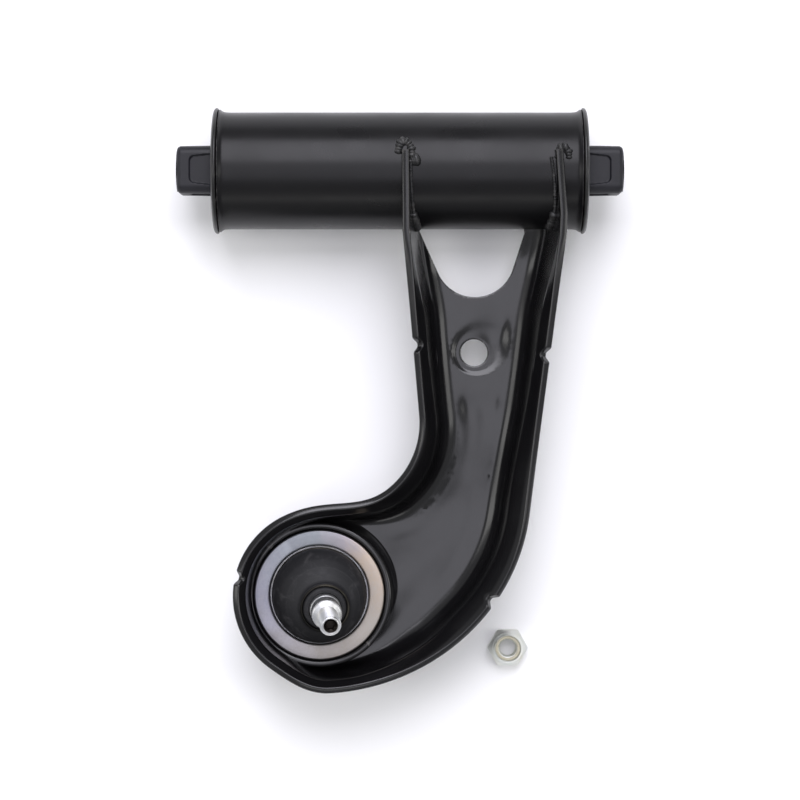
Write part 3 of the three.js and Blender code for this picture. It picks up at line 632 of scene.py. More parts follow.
# The web's upper face: a seat pressed round the hole, a shallow bowl along the elbow and soft swells.
# The last two die out towards the walls: "room" is the distance to the foot of the nearest wall,
# "fromElbow" the distance to the round side's wall.
def webShape(points, room=99.0, fromElbow=99.0):
    s = armSizes
    x, y = points[:, 0], points[:, 1]
    height = webAt(y)
    fromHole = np.hypot(x - holeX, y - holeY)
    facing = 0.5 + 0.5 * np.cos(np.arctan2(y - holeY, x - holeX) - math.radians(40))
    ramp = 1.7 + 9 * facing ** 2
    height = height - s["seatDepth"] * (1 - smoothStep(fromHole, s["seatRadius"] - 0.9,
                                                       s["seatRadius"] - 0.9 + ramp))
    lower = smoothStep(-y, 160, 195)
    depth = s["bowlDepth"][0] + s["bowlDepth"][1] * lower
    depth = depth * smoothStep(-y, 102, 122) * (1 - smoothStep(-y, 208, 236))
    wide = s["bowlWidth"][0] + s["bowlWidth"][1] * lower
    start = 4 - 2 * lower
    floor = start + wide
    bowl = smoothStep(fromElbow, start, floor) * (1 - smoothStep(fromElbow, floor, floor + s["bowlReturn"]))
    height = height - depth * bowl * smoothStep(room, 0, 9)
    for markX, markY, depth, wide in pressMarks:
        dent = depth * np.exp(-((x - markX) ** 2 + (y - markY) ** 2) / (2 * wide ** 2))
        height = height - dent * smoothStep(room, 0, 5)
    swell = (np.sin(x / 6.1 + 0.7 + 0.03 * y) * np.sin(y / 8.3 + 0.4) + 0.7 * np.sin(x / 3.9 - y / 11.0)
             + 0.6 * np.sin(y / 5.2 + x / 14.0 + 2.0))
    return height + s["swell"] * swell * smoothStep(room, 1.5, 9) * smoothStep(fromHole, 9, 16)


# How a rounded edge falls away from a face: how far it still widens the opening, and its depth.
edgeFall = [(0.45, 0.0), (0.13, 0.13), (0.0, 0.45)]


def holeRing(radius, count, start=0.0):
    angles = np.arange(count) * tau / count + start
    return np.c_[holeX + radius * np.cos(angles), holeY + radius * np.sin(angles)]


def distanceTo(points, line):
    return np.min(np.hypot(points[:, None, 0] - line[None, :, 0], points[:, None, 1] - line[None, :, 1]), 1)


# Points of the web inside its border, finer round the hole, with their distances from the wall's
# foot and from the round side's foot.
def webGrid(loop):
    pitch = 1.7
    across = np.arange(loop[:, 0].min(), loop[:, 0].max(), pitch)
    upward = np.arange(loop[:, 1].min(), loop[:, 1].max(), pitch * 0.87)
    grid = np.array([(x + (k % 2) * pitch / 2, y) for k, y in enumerate(upward) for x in across])
    for radius, count in ((7.6, 64), (8.5, 64), (9.2, 72), (9.9, 72), (10.6, 72), (11.4, 72)):
        grid = np.vstack([grid, holeRing(radius, count, 0.5 * radius)])
    fromHole = np.hypot(grid[:, 0] - holeX, grid[:, 1] - holeY)
    onRings = np.arange(len(grid)) >= len(upward) * len(across)
    keep = insidePolygon(grid, loop) & (onRings | (fromHole > 12.4))
    grid = grid[keep]
    room = distanceTo(grid, loop)
    grid, room = grid[room > 0.9], room[room > 0.9]
    elbow = loop[int(0.58 * len(loop)):]
    return grid, room, distanceTo(grid, elbow)


# One closed sheet: the walls, the rounded edge of the web's hole, and the web as triangles between
# them, whose lower face repeats the upper one.
def armMesh():
    s = armSizes
    rows = wallSides()
    stations, rowCount = rows.shape[:2]
    points = [rows.reshape(-1, 3)]
    faces = []
    for i in range(stations - 1):
        for j in range(rowCount - 1):
            here, ahead = i * rowCount + j, (i + 1) * rowCount + j
            faces.append((here, here + 1, ahead + 1, ahead))
    total = stations * rowCount
    border = [i * rowCount for i in range(stations)]
    footLow = [(i + 1) * rowCount - 1 for i in range(stations)]
    levels = [(widen, -fall) for widen, fall in edgeFall]
    levels += [(widen, fall - s["sheet"]) for widen, fall in reversed(edgeFall)]
    holeCount = 64
    rim = []
    for widen, drop in levels:
        ring = holeRing(s["holeRadius"] + widen, holeCount)
        points.append(np.c_[ring, webShape(ring) + drop])
        rim.append(list(range(total, total + holeCount)))
        total += holeCount
    for upper, lower in zip(rim, rim[1:]):
        for k in range(holeCount):
            m = (k + 1) % holeCount
            faces.append((upper[k], upper[m], lower[m], lower[k]))
    flat = np.vstack(points)
    loop = flat[border][:, :2]
    grid, room, fromElbow = webGrid(loop)
    known = border + rim[0]
    flatPoints = np.vstack([flat[known][:, :2], grid])
    borderCount = len(border)
    edges = [(k, (k + 1) % borderCount) for k in range(borderCount)]
    edges += [(borderCount + k, borderCount + (k + 1) % holeCount) for k in range(holeCount)]
    out = delaunay_2d_cdt([Vector(p) for p in flatPoints], edges, [], 1, 1e-6)
    made = np.array([tuple(v) for v in out[0]])
    source = [o[0] if o else -1 for o in out[3]]
    centres = np.array([made[list(f)].mean(0) for f in out[2]])
    good = insidePolygon(centres, loop)
    good &= np.hypot(centres[:, 0] - holeX, centres[:, 1] - holeY) > s["holeRadius"] + edgeFall[0][0] - 0.01
    lowOf = dict(zip(known, footLow + rim[-1]))
    upperPoints = np.c_[grid, webShape(grid, room, fromElbow)]
    points.append(upperPoints)
    points.append(upperPoints - [0, 0, s["sheet"]])
    nextFree = total + 2 * len(grid)
    topOf, bottomOf = {}, {}
    for k, origin in enumerate(source):
        if origin < 0:
            spot = made[k][None]
            topOf[k], bottomOf[k] = nextFree, nextFree + 1
            nextFree += 2
            up = np.c_[spot, webShape(spot)]
            points.append(np.vstack([up, up - [0, 0, s["sheet"]]]))
        elif origin < len(known):
            topOf[k], bottomOf[k] = known[origin], lowOf[known[origin]]
        else:
            topOf[k] = total + origin - len(known)
            bottomOf[k] = topOf[k] + len(grid)
    for face, fine in zip(out[2], good):
        if fine:
            faces.append(tuple(topOf[k] for k in face))
            faces.append(tuple(bottomOf[k] for k in reversed(face)))
    return np.vstack(points) * mm, faces


# A closed skin between loops of equal length.
def skin(loops):
    count = len(loops[0])
    faces = ringFaces(len(loops), count, False)
    last = (len(loops) - 1) * count
    faces.append(tuple(reversed(range(count))))
    faces.append(tuple(last + k for k in range(count)))
    return np.vstack(loops), faces


# The cutter for the arm's cut-out follows the sheet's two faces, so the cut edge comes out rounded.
def cutoutCutter(arm):
    tree = BVHTree.FromObject(arm, bpy.context.evaluated_depsgraph_get())
    edge = cutoutLoop(0.0)
    heights = []
    for x, y in edge * mm:
        up = tree.ray_cast(Vector((x, y, 0.2)), Vector((0, 0, -1)))[0]
        low = tree.ray_cast(Vector((x, y, -0.2)), Vector((0, 0, 1)))[0]
        heights.append((up.z, low.z) if up else (heights[-1] if heights else (-0.002, -0.0055)))
    top, low = np.array(heights).T / mm
    clear = 60.0
    rows = [(edgeFall[0][0], np.full_like(top, clear))]
    rows += [(widen, top - fall) for widen, fall in edgeFall]
    rows += [(widen, low + fall) for widen, fall in reversed(edgeFall)]
    rows += [(edgeFall[0][0], np.full_like(low, -clear))]
    points, faces = skin([np.c_[cutoutLoop(widen), height] for widen, height in rows])
    return newObject("cutter", newMesh("cutter", points * mm, faces))


def cylinder(radius, start, end, around=256):
    axis = Vector(end) - Vector(start)
    profile = [[radius, 0], [radius, axis.length / mm]]
    points, faces = turned(profile, around, closed=False)
    return newObject("cutter", newMesh("cutter", moved(points, along(start, axis)), faces))


# The collar drawn up round the joint; its foot spreads only where the web carries on beside it.
def collar():
    top = housingTop / mm + 3.0
    floor = seatFloor
    profile = softened([
        [24.1, headWeb + 0.3], [collarInner + 2, headWeb - 0.8], [collarOuter, headWeb - 1.2],
        [collarOuter, headWeb + 0.2], [collarOuter, floor - 2.2], [collarOuter, floor + 1.5],
        [collarOuter, top], [collarInner, top], [collarInner, floor], [24.1, floor],
    ], 1.7)
    points, faces = turned(profile, 192)
    reach = np.hypot(points[:, 0], points[:, 1])
    angle = np.arctan2(points[:, 1], points[:, 0])
    free = smoothStep(np.cos(angle - math.radians(52)), 0.1, 0.9)
    low = smoothStep(-points[:, 2], -(floor + 1.5) * mm, -(headWeb + 0.6) * mm)
    outer = smoothStep(reach, (collarInner + 1.5) * mm, (collarOuter - 0.2) * mm)
    spread = 1 + free * low ** 2 * outer * 3.4 * mm / reach
    points[:, :2] *= spread[:, None]
    points[:, 0] += ball.x
    points[:, 1] += ball.y
    return newObject("collar", newMesh("collar", points, faces))


def buildArm():
    points, faces = armMesh()
    arm = newObject("armPressing", newMesh("armPressing", points, faces))
    combine(arm, cutoutCutter(arm), "DIFFERENCE")
    combine(arm, cylinder(collarInner * mm, (ball.x, ball.y, -0.06), (ball.x, ball.y, 0)), "DIFFERENCE")
    combine(arm, collar(), "UNION")
    reach = (tubeRadius - 0.2) * mm
    combine(arm, cylinder(reach, (-0.2, 0, 0), (0.2, 0, 0), 384), "DIFFERENCE")
    smooth(arm.data, 35)
    return finishPiece(arm, paint, "arm", "arm_stamping")


arm = buildArm()
print("arm pressed:", len(arm.data.polygons))

tubeSizes = {"wall": 2.5, "flare": 1.9, "flareLength": 3.6}
bushSizes = {
    "depth": 40.0, "sleeveWall": 2.3, "flange": 2.5, "bore": 6.15, "innerWall": 2.35,
    "nose": 22.6, "noseCorner": 4.0, "noseRound": 2.1, "taper": 0.02,
    "pocketWidth": 15.0, "pocketTaper": 0.11, "pocketLength": 10.6, "pocketDepth": 0.9, "pocketCorner": 2.2,
}
boreRadius = tubeRadius - tubeSizes["wall"]
sleeveOuter = boreRadius - 0.35
flangeRadius = -restLevel / mm
tubeMm = tubeEnd / mm
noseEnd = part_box("bush_nose_right")[1].x / mm
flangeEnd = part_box("bush_sleeve_right")[1].x / mm


def buildTube():
    s = tubeSizes
    r, bore = tubeRadius, boreRadius
    half = [
        [r, tubeMm - 9], [r, tubeMm - s["flareLength"] - 1], [r + 0.3, tubeMm - 0.5 * s["flareLength"]],
        [r + s["flare"], tubeMm], [bore + s["flare"], tubeMm], [bore + 0.3, tubeMm - 0.45 * s["flareLength"]],
        [bore, tubeMm - s["flareLength"]],
    ]
    other = [[radius, -height] for radius, height in half]
    tube = turnedPiece("pivotTube", half + other[::-1], along((0, 0, 0), (1, 0, 0)), 1.2, 256)
    return finishPiece(tube, tubePaint, "arm", "pivot_tube")


def buildBush(side):
    s = bushSizes
    end = along((0, 0, 0), (1 if side == "right" else -1, 0, 0))
    start, deep = flangeEnd - s["flange"], tubeMm - s["depth"]
    inside = sleeveOuter - s["sleeveWall"]
    core = s["bore"] + s["innerWall"]
    sleeve = turnedPiece("sleeve_" + side, [
        [inside, deep], [sleeveOuter, deep], [sleeveOuter, start - 0.1], [flangeRadius - 0.9, start],
        [flangeRadius - 0.1, start + 0.25], [flangeRadius, start + 0.9],
        [flangeRadius - 0.35, flangeEnd - 0.9], [flangeRadius - 1.3, flangeEnd - 0.35],
        [sleeveOuter + 1.2, flangeEnd], [inside + 0.7, flangeEnd],
        [inside, flangeEnd - 1.2],
    ], end, 0.7, 224)
    finishPiece(sleeve, sleevePaint, "arm", "bush_sleeve_" + side)
    rubber = turnedPiece("rubber_" + side, [
        [core + 0.1, deep + 2], [core + 4, deep + 1], [inside - 4, deep + 7], [inside - 0.1, deep + 6],
        [inside - 0.1, flangeEnd - 1.6], [inside - 0.9, flangeEnd - 0.6], [inside - 1.9, flangeEnd - 1.3],
        [inside - 3.2, flangeEnd - 1.5], [16.5, flangeEnd - 0.7], [15, flangeEnd], [core + 0.1, flangeEnd],
    ], end, 0.6, 160)
    finishPiece(rubber, bushRubber, "arm", "bush_rubber_" + side)
    inner = turnedPiece("core_" + side, [
        [s["bore"], deep - 4], [core, deep - 4], [core, noseEnd], [s["bore"], noseEnd],
    ], end, 0.6, 96)
    finishPiece(inner, hiddenSteel, "pivot_core", "inner_sleeve_" + side)
    nose = newObject("nose_" + side, noseMesh("nose_" + side, end))
    finishPiece(nose, moulding, "pivot_core", "bush_nose_" + side)


# Places round a rounded square, with the outward heading and the distance from the middle of its side.
def squareLoop(half, corner, around=256):
    flat = half - corner
    spots = []
    for quarter in range(4):
        turn = quarter * math.pi / 2
        c, s = math.cos(turn), math.sin(turn)
        for k in range(around // 4):
            share = k / (around // 4)
            if share < 0.7:
                x, y, nx, ny = half, -flat + 2 * flat * share / 0.7, 1.0, 0.0
            else:
                a = (share - 0.7) / 0.3 * math.pi / 2
                nx, ny = math.cos(a), math.sin(a)
                x, y = flat + corner * nx, flat + corner * ny
            across = y if share < 0.7 else half
            spots.append((c * x - s * y, s * x + c * y, c * nx - s * ny, s * nx + c * ny, across))
    return np.array(spots)


# The moulded end: a rounded square block with a shallow pocket in each side and a bore.
def noseMesh(name, end):
    s = bushSizes
    start, tipRound = flangeEnd + 0.3, s["noseRound"]
    heights = np.linspace(0, noseEnd - start - tipRound, 46)
    spots = squareLoop(s["nose"] / 2, s["noseCorner"])
    angles = np.arctan2(spots[:, 1], spots[:, 0])
    bore = s["bore"] + s["innerWall"] + 0.12
    circle = np.c_[np.cos(angles), np.sin(angles)]
    loops = [np.c_[circle * bore, np.full(len(spots), 0.0)]]
    length = noseEnd - start - 0.4
    for h in heights:
        wide = s["pocketWidth"] / 2 - s["pocketTaper"] * h
        p = np.abs(np.c_[spots[:, 4], np.full(len(spots), h)]) - [wide, s["pocketLength"]]
        p = p + s["pocketCorner"]
        apart = np.linalg.norm(np.maximum(p, 0), axis=1) + np.minimum(p.max(1), 0) - s["pocketCorner"]
        dip = s["pocketDepth"] * smoothStep(-apart, -0.15, 0.55)
        narrow = 1 - s["taper"] * h / length
        inner = spots[:, :2] * narrow - spots[:, 2:4] * dip[:, None]
        loops.append(np.c_[inner, np.full(len(spots), h)])
    base = spots[:, :2] * (1 - s["taper"])
    for k in range(1, 7):
        a = math.pi / 2 * k / 6
        edge = base - spots[:, 2:4] * tipRound * (1 - math.cos(a))
        loops.append(np.c_[edge, np.full(len(spots), length - tipRound + tipRound * math.sin(a))])
    tip = loops[-1][:, :2]
    rim = circle * (bore + 1.2)
    for k in range(1, 6):
        crown = length + 0.35 * math.sin(k / 5 * 1.5)
        loops.append(np.c_[tip + (rim - tip) * k / 5, np.full(len(spots), crown)])
    loops.append(np.c_[circle * (bore + 0.3), np.full(len(spots), length - 0.25)])
    loops.append(np.c_[circle * bore, np.full(len(spots), length - 0.8)])
    points = np.vstack(loops) + [0, 0, start]
    return newMesh(name, moved(points * mm, end), ringFaces(len(loops), len(spots), True))


buildTube()
for side in ("left", "right"):
    buildBush(side)
print("tube and bushes made")


def newTree(name, sockets):
    tree = bpy.data.node_groups.new(name, "GeometryNodeTree")
    tree.interface.new_socket("Geometry", in_out="INPUT", socket_type="NodeSocketGeometry")
    for label, kind in sockets:
        tree.interface.new_socket(label, in_out="INPUT", socket_type="NodeSocket" + kind)
    tree.interface.new_socket("Geometry", in_out="OUTPUT", socket_type="NodeSocketGeometry")
    source = tree.nodes.new("NodeGroupInput")
    sink = tree.nodes.new("NodeGroupOutput")

    def node(kind, values=None, **settings):
        made = tree.nodes.new(kind)
        for key, value in settings.items():
            setattr(made, key, value)
        for key, value in (values or {}).items():
            if isinstance(value, bpy.types.NodeSocket):
                tree.links.new(value, made.inputs[key])
            else:
                made.inputs[key].default_value = value
        return made

    return tree, node, source.outputs, sink.inputs[0]


# Ends a tree: its pieces become real, smooth and take their material.
def endTree(tree, node, geometry, sink):
    real = node("GeometryNodeRealizeInstances", {"Geometry": geometry})
    shaded = node("GeometryNodeSetShadeSmooth", {"Geometry": real.outputs[0]})
    coat = node("GeometryNodeSetMaterial", {"Geometry": shaded.outputs[0]})
    tree.links.new(coat.outputs[0], sink)
    return coat


# Lumps laid one over the other along a curve, as a welder's puddle leaves them.
def beadTree():
    tree, node, given, sink = newTree("weldBead", [
        ("Spacing", "Float"), ("Radius", "Float"), ("Unevenness", "Float"), ("Seed", "Int")])
    line = node("GeometryNodeResampleCurve", {
        "Curve": given["Geometry"], "Length": given["Spacing"]}, mode="LENGTH")
    lump = node("GeometryNodeMeshUVSphere", {"Segments": 20, "Rings": 12, "Radius": 1.0})
    tangent = node("GeometryNodeInputTangent")
    turn = node("FunctionNodeAlignRotationToVector", {"Vector": tangent.outputs[0]}, axis="Z")
    most = node("ShaderNodeMath", {0: 1.0, 1: given["Unevenness"]}, operation="ADD")
    least = node("ShaderNodeMath", {0: 1.0, 1: given["Unevenness"]}, operation="SUBTRACT")
    swing = node("FunctionNodeRandomValue", {
        "Min": least.outputs[0], "Max": most.outputs[0], "Seed": given["Seed"]})
    wide = node("ShaderNodeMath", {0: given["Radius"], 1: swing.outputs[1]}, operation="MULTIPLY")
    thin = node("ShaderNodeMath", {0: wide.outputs[0], 1: 0.62}, operation="MULTIPLY")
    size = node("ShaderNodeCombineXYZ", {0: wide.outputs[0], 1: wide.outputs[0], 2: thin.outputs[0]})
    laid = node("GeometryNodeInstanceOnPoints", {
        "Points": line.outputs[0], "Instance": lump.outputs[0], "Rotation": turn.outputs[0],
        "Scale": size.outputs[0]})
    coat = endTree(tree, node, laid.outputs[0], sink)
    coat.inputs["Material"].default_value = weldMetal
    return tree


# Thread turns: a diamond section carried round a helix.
def threadTree(metal):
    tree, node, given, sink = newTree("thread", [
        ("Turns", "Float"), ("Radius", "Float"), ("Height", "Float"), ("Depth", "Float")])
    helix = node("GeometryNodeCurveSpiral", {
        "Resolution": 64, "Rotations": given["Turns"], "Start Radius": given["Radius"],
        "End Radius": given["Radius"], "Height": given["Height"]})
    upright = node("GeometryNodeSetCurveNormal", {"Curve": helix.outputs[0]})
    upright.mode = "Z_UP"
    section = node("GeometryNodeCurvePrimitiveCircle", {"Resolution": 4, "Radius": given["Depth"]})
    cut = node("GeometryNodeCurveToMesh", {
        "Curve": upright.outputs[0], "Profile Curve": section.outputs[0], "Fill Caps": True})
    flat = node("GeometryNodeSetShadeSmooth", {"Geometry": cut.outputs[0], "Shade Smooth": False})
    real = node("GeometryNodeRealizeInstances", {"Geometry": flat.outputs[0]})
    coat = node("GeometryNodeSetMaterial", {"Geometry": real.outputs[0], "Material": metal})
    tree.links.new(coat.outputs[0], sink)
    return tree


# The finished mesh of a tree, turned outward and ready to be placed.
def fromTree(name, data, tree, values):
    maker = newObject(name + "Maker", data)
    step = maker.modifiers.new(tree.name, "NODES")
    step.node_group = tree
    for item in tree.interface.items_tree:
        if item.name in values:
            step[item.identifier] = values[item.name]
    graph = bpy.context.evaluated_depsgraph_get()
    mesh = bpy.data.meshes.new_from_object(maker.evaluated_get(graph))
    bpy.data.objects.remove(maker)
    work = bmesh.new()
    work.from_mesh(mesh)
    bmesh.ops.recalc_face_normals(work, faces=work.faces)
    work.to_mesh(mesh)
    work.free()
    return newObject(name, mesh)


def pathCurve(name, points):
    curve = bpy.data.curves.new(name, "CURVE")
    curve.dimensions = "3D"
    spline = curve.splines.new("POLY")
    spline.points.add(len(points) - 1)
    for spot, point in zip(spline.points, points):
        spot.co = (*point, 1)
    return curve


def joined(main, *others):
    work = bmesh.new()
    work.from_mesh(main.data)
    for other in others:
        work.from_mesh(other.data)
        bpy.data.objects.remove(other)
    work.to_mesh(main.data)
    work.free()
    return main


weldSizes = {
    "spacing": 0.95, "radius": 1.9, "thin": 0.8, "unevenness": 0.22,
    "from": 74, "split": 50, "to": -8,  # degrees round the tube from its top
}
beads = beadTree()


def layBead(name, points, radius, seed, spacing=weldSizes["spacing"]):
    return fromTree(name, pathCurve("path", points), beads, {
        "Spacing": spacing * mm, "Radius": radius * mm, "Unevenness": weldSizes["unevenness"], "Seed": seed})


# Path along the foot of an ear's inner face, round the tube between two angles.
def earPath(side, start, end, sink=0.6):
    ring = tubeRadius + sink
    face, sign = (earLeft, 1) if side == "left" else (earRight, -1)
    draft = math.radians(armSizes["draft"])
    points = []
    for degrees in np.linspace(start, end, 40):
        a = math.radians(degrees)
        y, z = -ring * math.sin(a), ring * math.cos(a)
        inset = (armSizes["sheet"] + (tubeRadius + 3 - z) * math.tan(draft)) / math.cos(draft) + 0.2
        lean = 0.2 if sign > 0 else 0.13 * max(0, y + 0.7 * tubeRadius)
        points.append(Vector((face + sign * (inset + lean), y, z)) * mm)
    return points


# Places on the tube's surface, given along and across it.
def onTube(spots, lift=0.5):
    smoothSpots = softened(spots, 4, 5, closed=False)
    return [Vector((x, y, math.sqrt((tubeRadius + lift) ** 2 - y * y))) * mm for x, y in smoothSpots]


def buildEarWeld(side, seed):
    s = weldSizes
    root = layBead("earWeld_" + side, earPath(side, s["from"], s["split"]), s["radius"], seed)
    seam = layBead("seam", earPath(side, s["split"], s["to"]), s["thin"], seed + 1, 0.7)
    if side == "left":
        hook = onTube([(5.4, 2), (5.4, 8.6), (3.2, 11.6), (0.2, 11.4), (-0.8, 6.5)], -0.7)
        tip = layBead("tip", hook, 2.2, 4, 1.5)
        blob = layBead("blob", onTube([(6.0, 2.6), (7.6, 3.1)], -0.6), 3.0, 2, 0.8)
    else:
        hook = onTube([(73.2, 4), (73.8, 7.6), (75.8, 9.4), (78, 7.4), (78.2, 4)], -0.6)
        tip = layBead("tip", hook, 1.9, 9, 1.3)
        blob = layBead("blob", onTube([(74.4, 8.2), (76.6, 8.8)], -0.4), 2.3, 12, 0.9)
    joined(root, seam, tip, blob)
    return finishPiece(root, None, "arm", "ear_weld_" + side)


def buildUnderWeld(side, low, high, seed):
    s = weldSizes
    z = armSizes["hornWeb"] - armSizes["sheet"] - 1.4
    y = -math.sqrt((tubeRadius + 1.0) ** 2 - z ** 2)
    points = [Vector((x, y, z)) * mm for x in np.linspace(low, high, 12)]
    bead = layBead("underWeld_" + side, points, s["radius"], seed)
    return finishPiece(bead, None, "arm", "under_weld_" + side)


buildEarWeld("left", 3)
buildEarWeld("right", 8)
buildUnderWeld("left", earLeft + 1.5, earLeft + 7.2, 5)
buildUnderWeld("right", earRight - 17, earRight - 3, 6)
print("welds laid")


jointSizes = {
    "housing": 23.75, "flange": 30.75, "flangeHeight": 4.2, "mouth": 12.6, "seat": 17.2,
    "ringHole": 23.2, "ringHeight": 3.3, "boot": 22.3, "bootNeck": 21.4,
    "middle": 13.4,  # level over the cup at which the boot's two parts meet
    "wire": 0.6, "tilt": 11.8,
}
atBall = Matrix.Translation((ball.x, ball.y, 0))
topMm = housingTop / mm
ballMm = ball.z / mm
restMm = restLevel / mm


def buildHousing():
    s = jointSizes
    r, low, bore = s["housing"], restMm, s["seat"] + 0.35
    housing = turnedPiece("ballCup", [
        [bore, low + 0.3], [bore + 1.3, low], [r - 2.6, low], [r, low + 2.6], [r, topMm - s["flangeHeight"]],
        [s["flange"], topMm - s["flangeHeight"]], [s["flange"], topMm], [s["mouth"] + 3, topMm],
        [s["mouth"] + 1.2, topMm - 1], [s["mouth"], ballMm + 6], [s["mouth"], ballMm + 5.5],
        [bore, ballMm + 5.5],
    ], atBall, 0.7, 192)
    finishPiece(housing, cupSteel, "arm", "joint_housing")
    plate = turnedPiece("closingPlate", [
        [0, low + 1], [7, low + 1], [8.4, low + 1.7], [13, low + 1.7], [14.6, low + 1], [s["seat"], low + 1],
        [s["seat"], low + 3.5], [0, low + 3.5],
    ], atBall, 0.6, 160, closed=False)
    finishPiece(plate, plateZinc, "arm", "closing_plate")
    low, high = topMm + 0.3, topMm + 0.3 + s["ringHeight"]
    hole = s["ringHole"]
    ring = turnedPiece("clampRing", [
        [hole, low], [s["flange"], low], [s["flange"], high - 0.5], [s["flange"] - 0.5, high],
        [s["flange"] - 2.5, high], [s["flange"] - 4.5, high - 0.12], [hole + 0.9, high - 0.3],
        [hole + 0.1, high - 0.7], [hole, high - 1.5],
    ], atBall, 0.4, 256)
    finishPiece(ring, ringZinc, "arm", "retaining_ring")


# The boot's sections: outer side upward, then the inner side down, as radius and height over the cup.
bootOuter = [
    [22.3, 0.3], [22.3, 1.7], [21.1, 2.1], [21.1, 3.3], [21.9, 3.8], [22.25, 5.2], [22.0, 6.8], [21.2, 8.6],
    [19.8, 10.9], [17.6, 13.2], [15.0, 15.2], [12.6, 16.6], [12.1, 17.2], [11.75, 17.7], [11.7, 19.1],
    [10.3, 19.5], [10.1, 20.4], [9.6, 21.2], [8.8, 21.4], [7.75, 21.4],
]
bootInner = [
    [7.75, 17.0], [9.9, 15.8], [12.4, 13.8], [15.4, 11.6], [17.9, 9.2], [19.4, 7.0], [20.2, 5.2],
    [19.2, 2.6], [18.9, 0.3],
]


# Leans points by a share of the stud's tilt that grows with their height.
def leaned(points):
    s = jointSizes
    base = topMm
    level = points[:, 2] / mm
    share = smoothStep(level, base + 3, base + s["bootNeck"] - 5)
    lean = share * math.radians(s["tilt"])
    heading = Vector((studAxis.x, studAxis.y, 0)).normalized()
    local = points - [0, 0, ball.z]
    axial = local[:, 0] * heading.x + local[:, 1] * heading.y
    cross = local[:, :2] - axial[:, None] * np.array(heading.xy)
    turnedAxial = axial * np.cos(lean) + local[:, 2] * np.sin(lean)
    height = local[:, 2] * np.cos(lean) - axial * np.sin(lean)
    flat = cross + turnedAxial[:, None] * np.array(heading.xy)
    return np.c_[flat, height + ball.z]


def profileUpTo(profile, level):
    profile = np.array(profile, float)
    order = np.argsort(profile[:, 1], kind="stable")
    return np.interp(level, profile[order, 1], profile[order, 0])


def buildBoot():
    s = jointSizes
    outer, inner = softened(bootOuter, 0.7, closed=False), softened(bootInner, 0.7, closed=False)
    level = s["middle"]
    outside, within = profileUpTo(outer, level), profileUpTo(inner, level)
    lowOuter = [p for p in outer if p[1] < level - 0.05] + [np.array([outside, level])]
    lowInner = [np.array([within, level])] + [p for p in inner if p[1] < level - 0.05]
    highOuter = [np.array([outside, level])] + [p for p in outer if p[1] > level + 0.05]
    highInner = [p for p in inner if p[1] > level + 0.05] + [np.array([within, level])]
    pieces = []
    for name, profile in (("bootBellows", lowOuter + lowInner), ("bootNeck", highOuter + highInner)):
        lifted = [[p[0], p[1] + topMm] for p in profile]
        points, faces = turned(lifted, 192)
        points = leaned(points) + [ball.x, ball.y, 0]
        piece = newObject(name, newMesh(name, points, faces, 50))
        piece.data.materials.append(bootRubber)
        pieces.append(piece)
    low, high = pieces
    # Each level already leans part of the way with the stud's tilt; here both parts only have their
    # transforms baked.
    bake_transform(low)
    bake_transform(high)
    for piece in pieces:
        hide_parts("dust_boot")


def wireRing(name, radius, thickness, matrix, around=160, sides=16):
    ring = []
    for k in range(sides):
        a = tau * k / sides
        ring.append([radius + thickness * math.cos(a), thickness * math.sin(a)])
    points, faces = turned(ring, around)
    return newObject(name, newMesh(name, moved(points, matrix), faces, 80))


def buildClips():
    s = jointSizes
    groove = atBall @ Matrix.Translation((0, 0, (topMm + 2.7) * mm))
    low = wireRing("lowerWire", s["boot"] - 0.35, s["wire"], groove)
    finishPiece(low, wireSteel, "arm", "boot_lower_clip")
    tilted = along(ball, studAxis)
    up = (topMm - ballMm + s["bootNeck"] - 1.2) * mm
    high = wireRing("upperWire", 11.0, s["wire"], tilted @ Matrix.Translation((0, 0, up)))
    finishPiece(high, wireSteel, "boot_neck", "boot_upper_clip")


studSizes = {
    "hollow": 12.3, "neck": 6.0, "collar": 8.4, "pin": 7.1, "shoulder": 42.0, "length": 62.0,
    "thread": 5.0, "threadDepth": 0.7, "pitch": 1.5, "socket": 4.0, "socketDepth": 5.0,
}


def prism(name, loop, low, high, matrix):
    loops = [np.c_[loop, np.full(len(loop), low)], np.c_[loop, np.full(len(loop), high)]]
    points, faces = skin(loops)
    return newObject(name, newMesh(name, moved(points * mm, matrix), faces))


def hexLoop(across, corner=0.0, steps=8):
    radius = across / math.sqrt(3)
    corners = [(radius * math.cos(k * math.pi / 3), radius * math.sin(k * math.pi / 3)) for k in range(6)]
    if not corner:
        return np.array(corners)
    return np.array(softened(corners, corner, steps))


def threadTurns(name, tree, low, high, radius, depth, matrix):
    pitch = studSizes["pitch"]
    run = high - low
    made = fromTree(name, bpy.data.meshes.new(name), tree, {
        "Turns": run / pitch, "Radius": radius * mm, "Height": run * mm, "Depth": depth * mm})
    made.data.transform(matrix @ Matrix.Translation((0, 0, low * mm)))
    return made


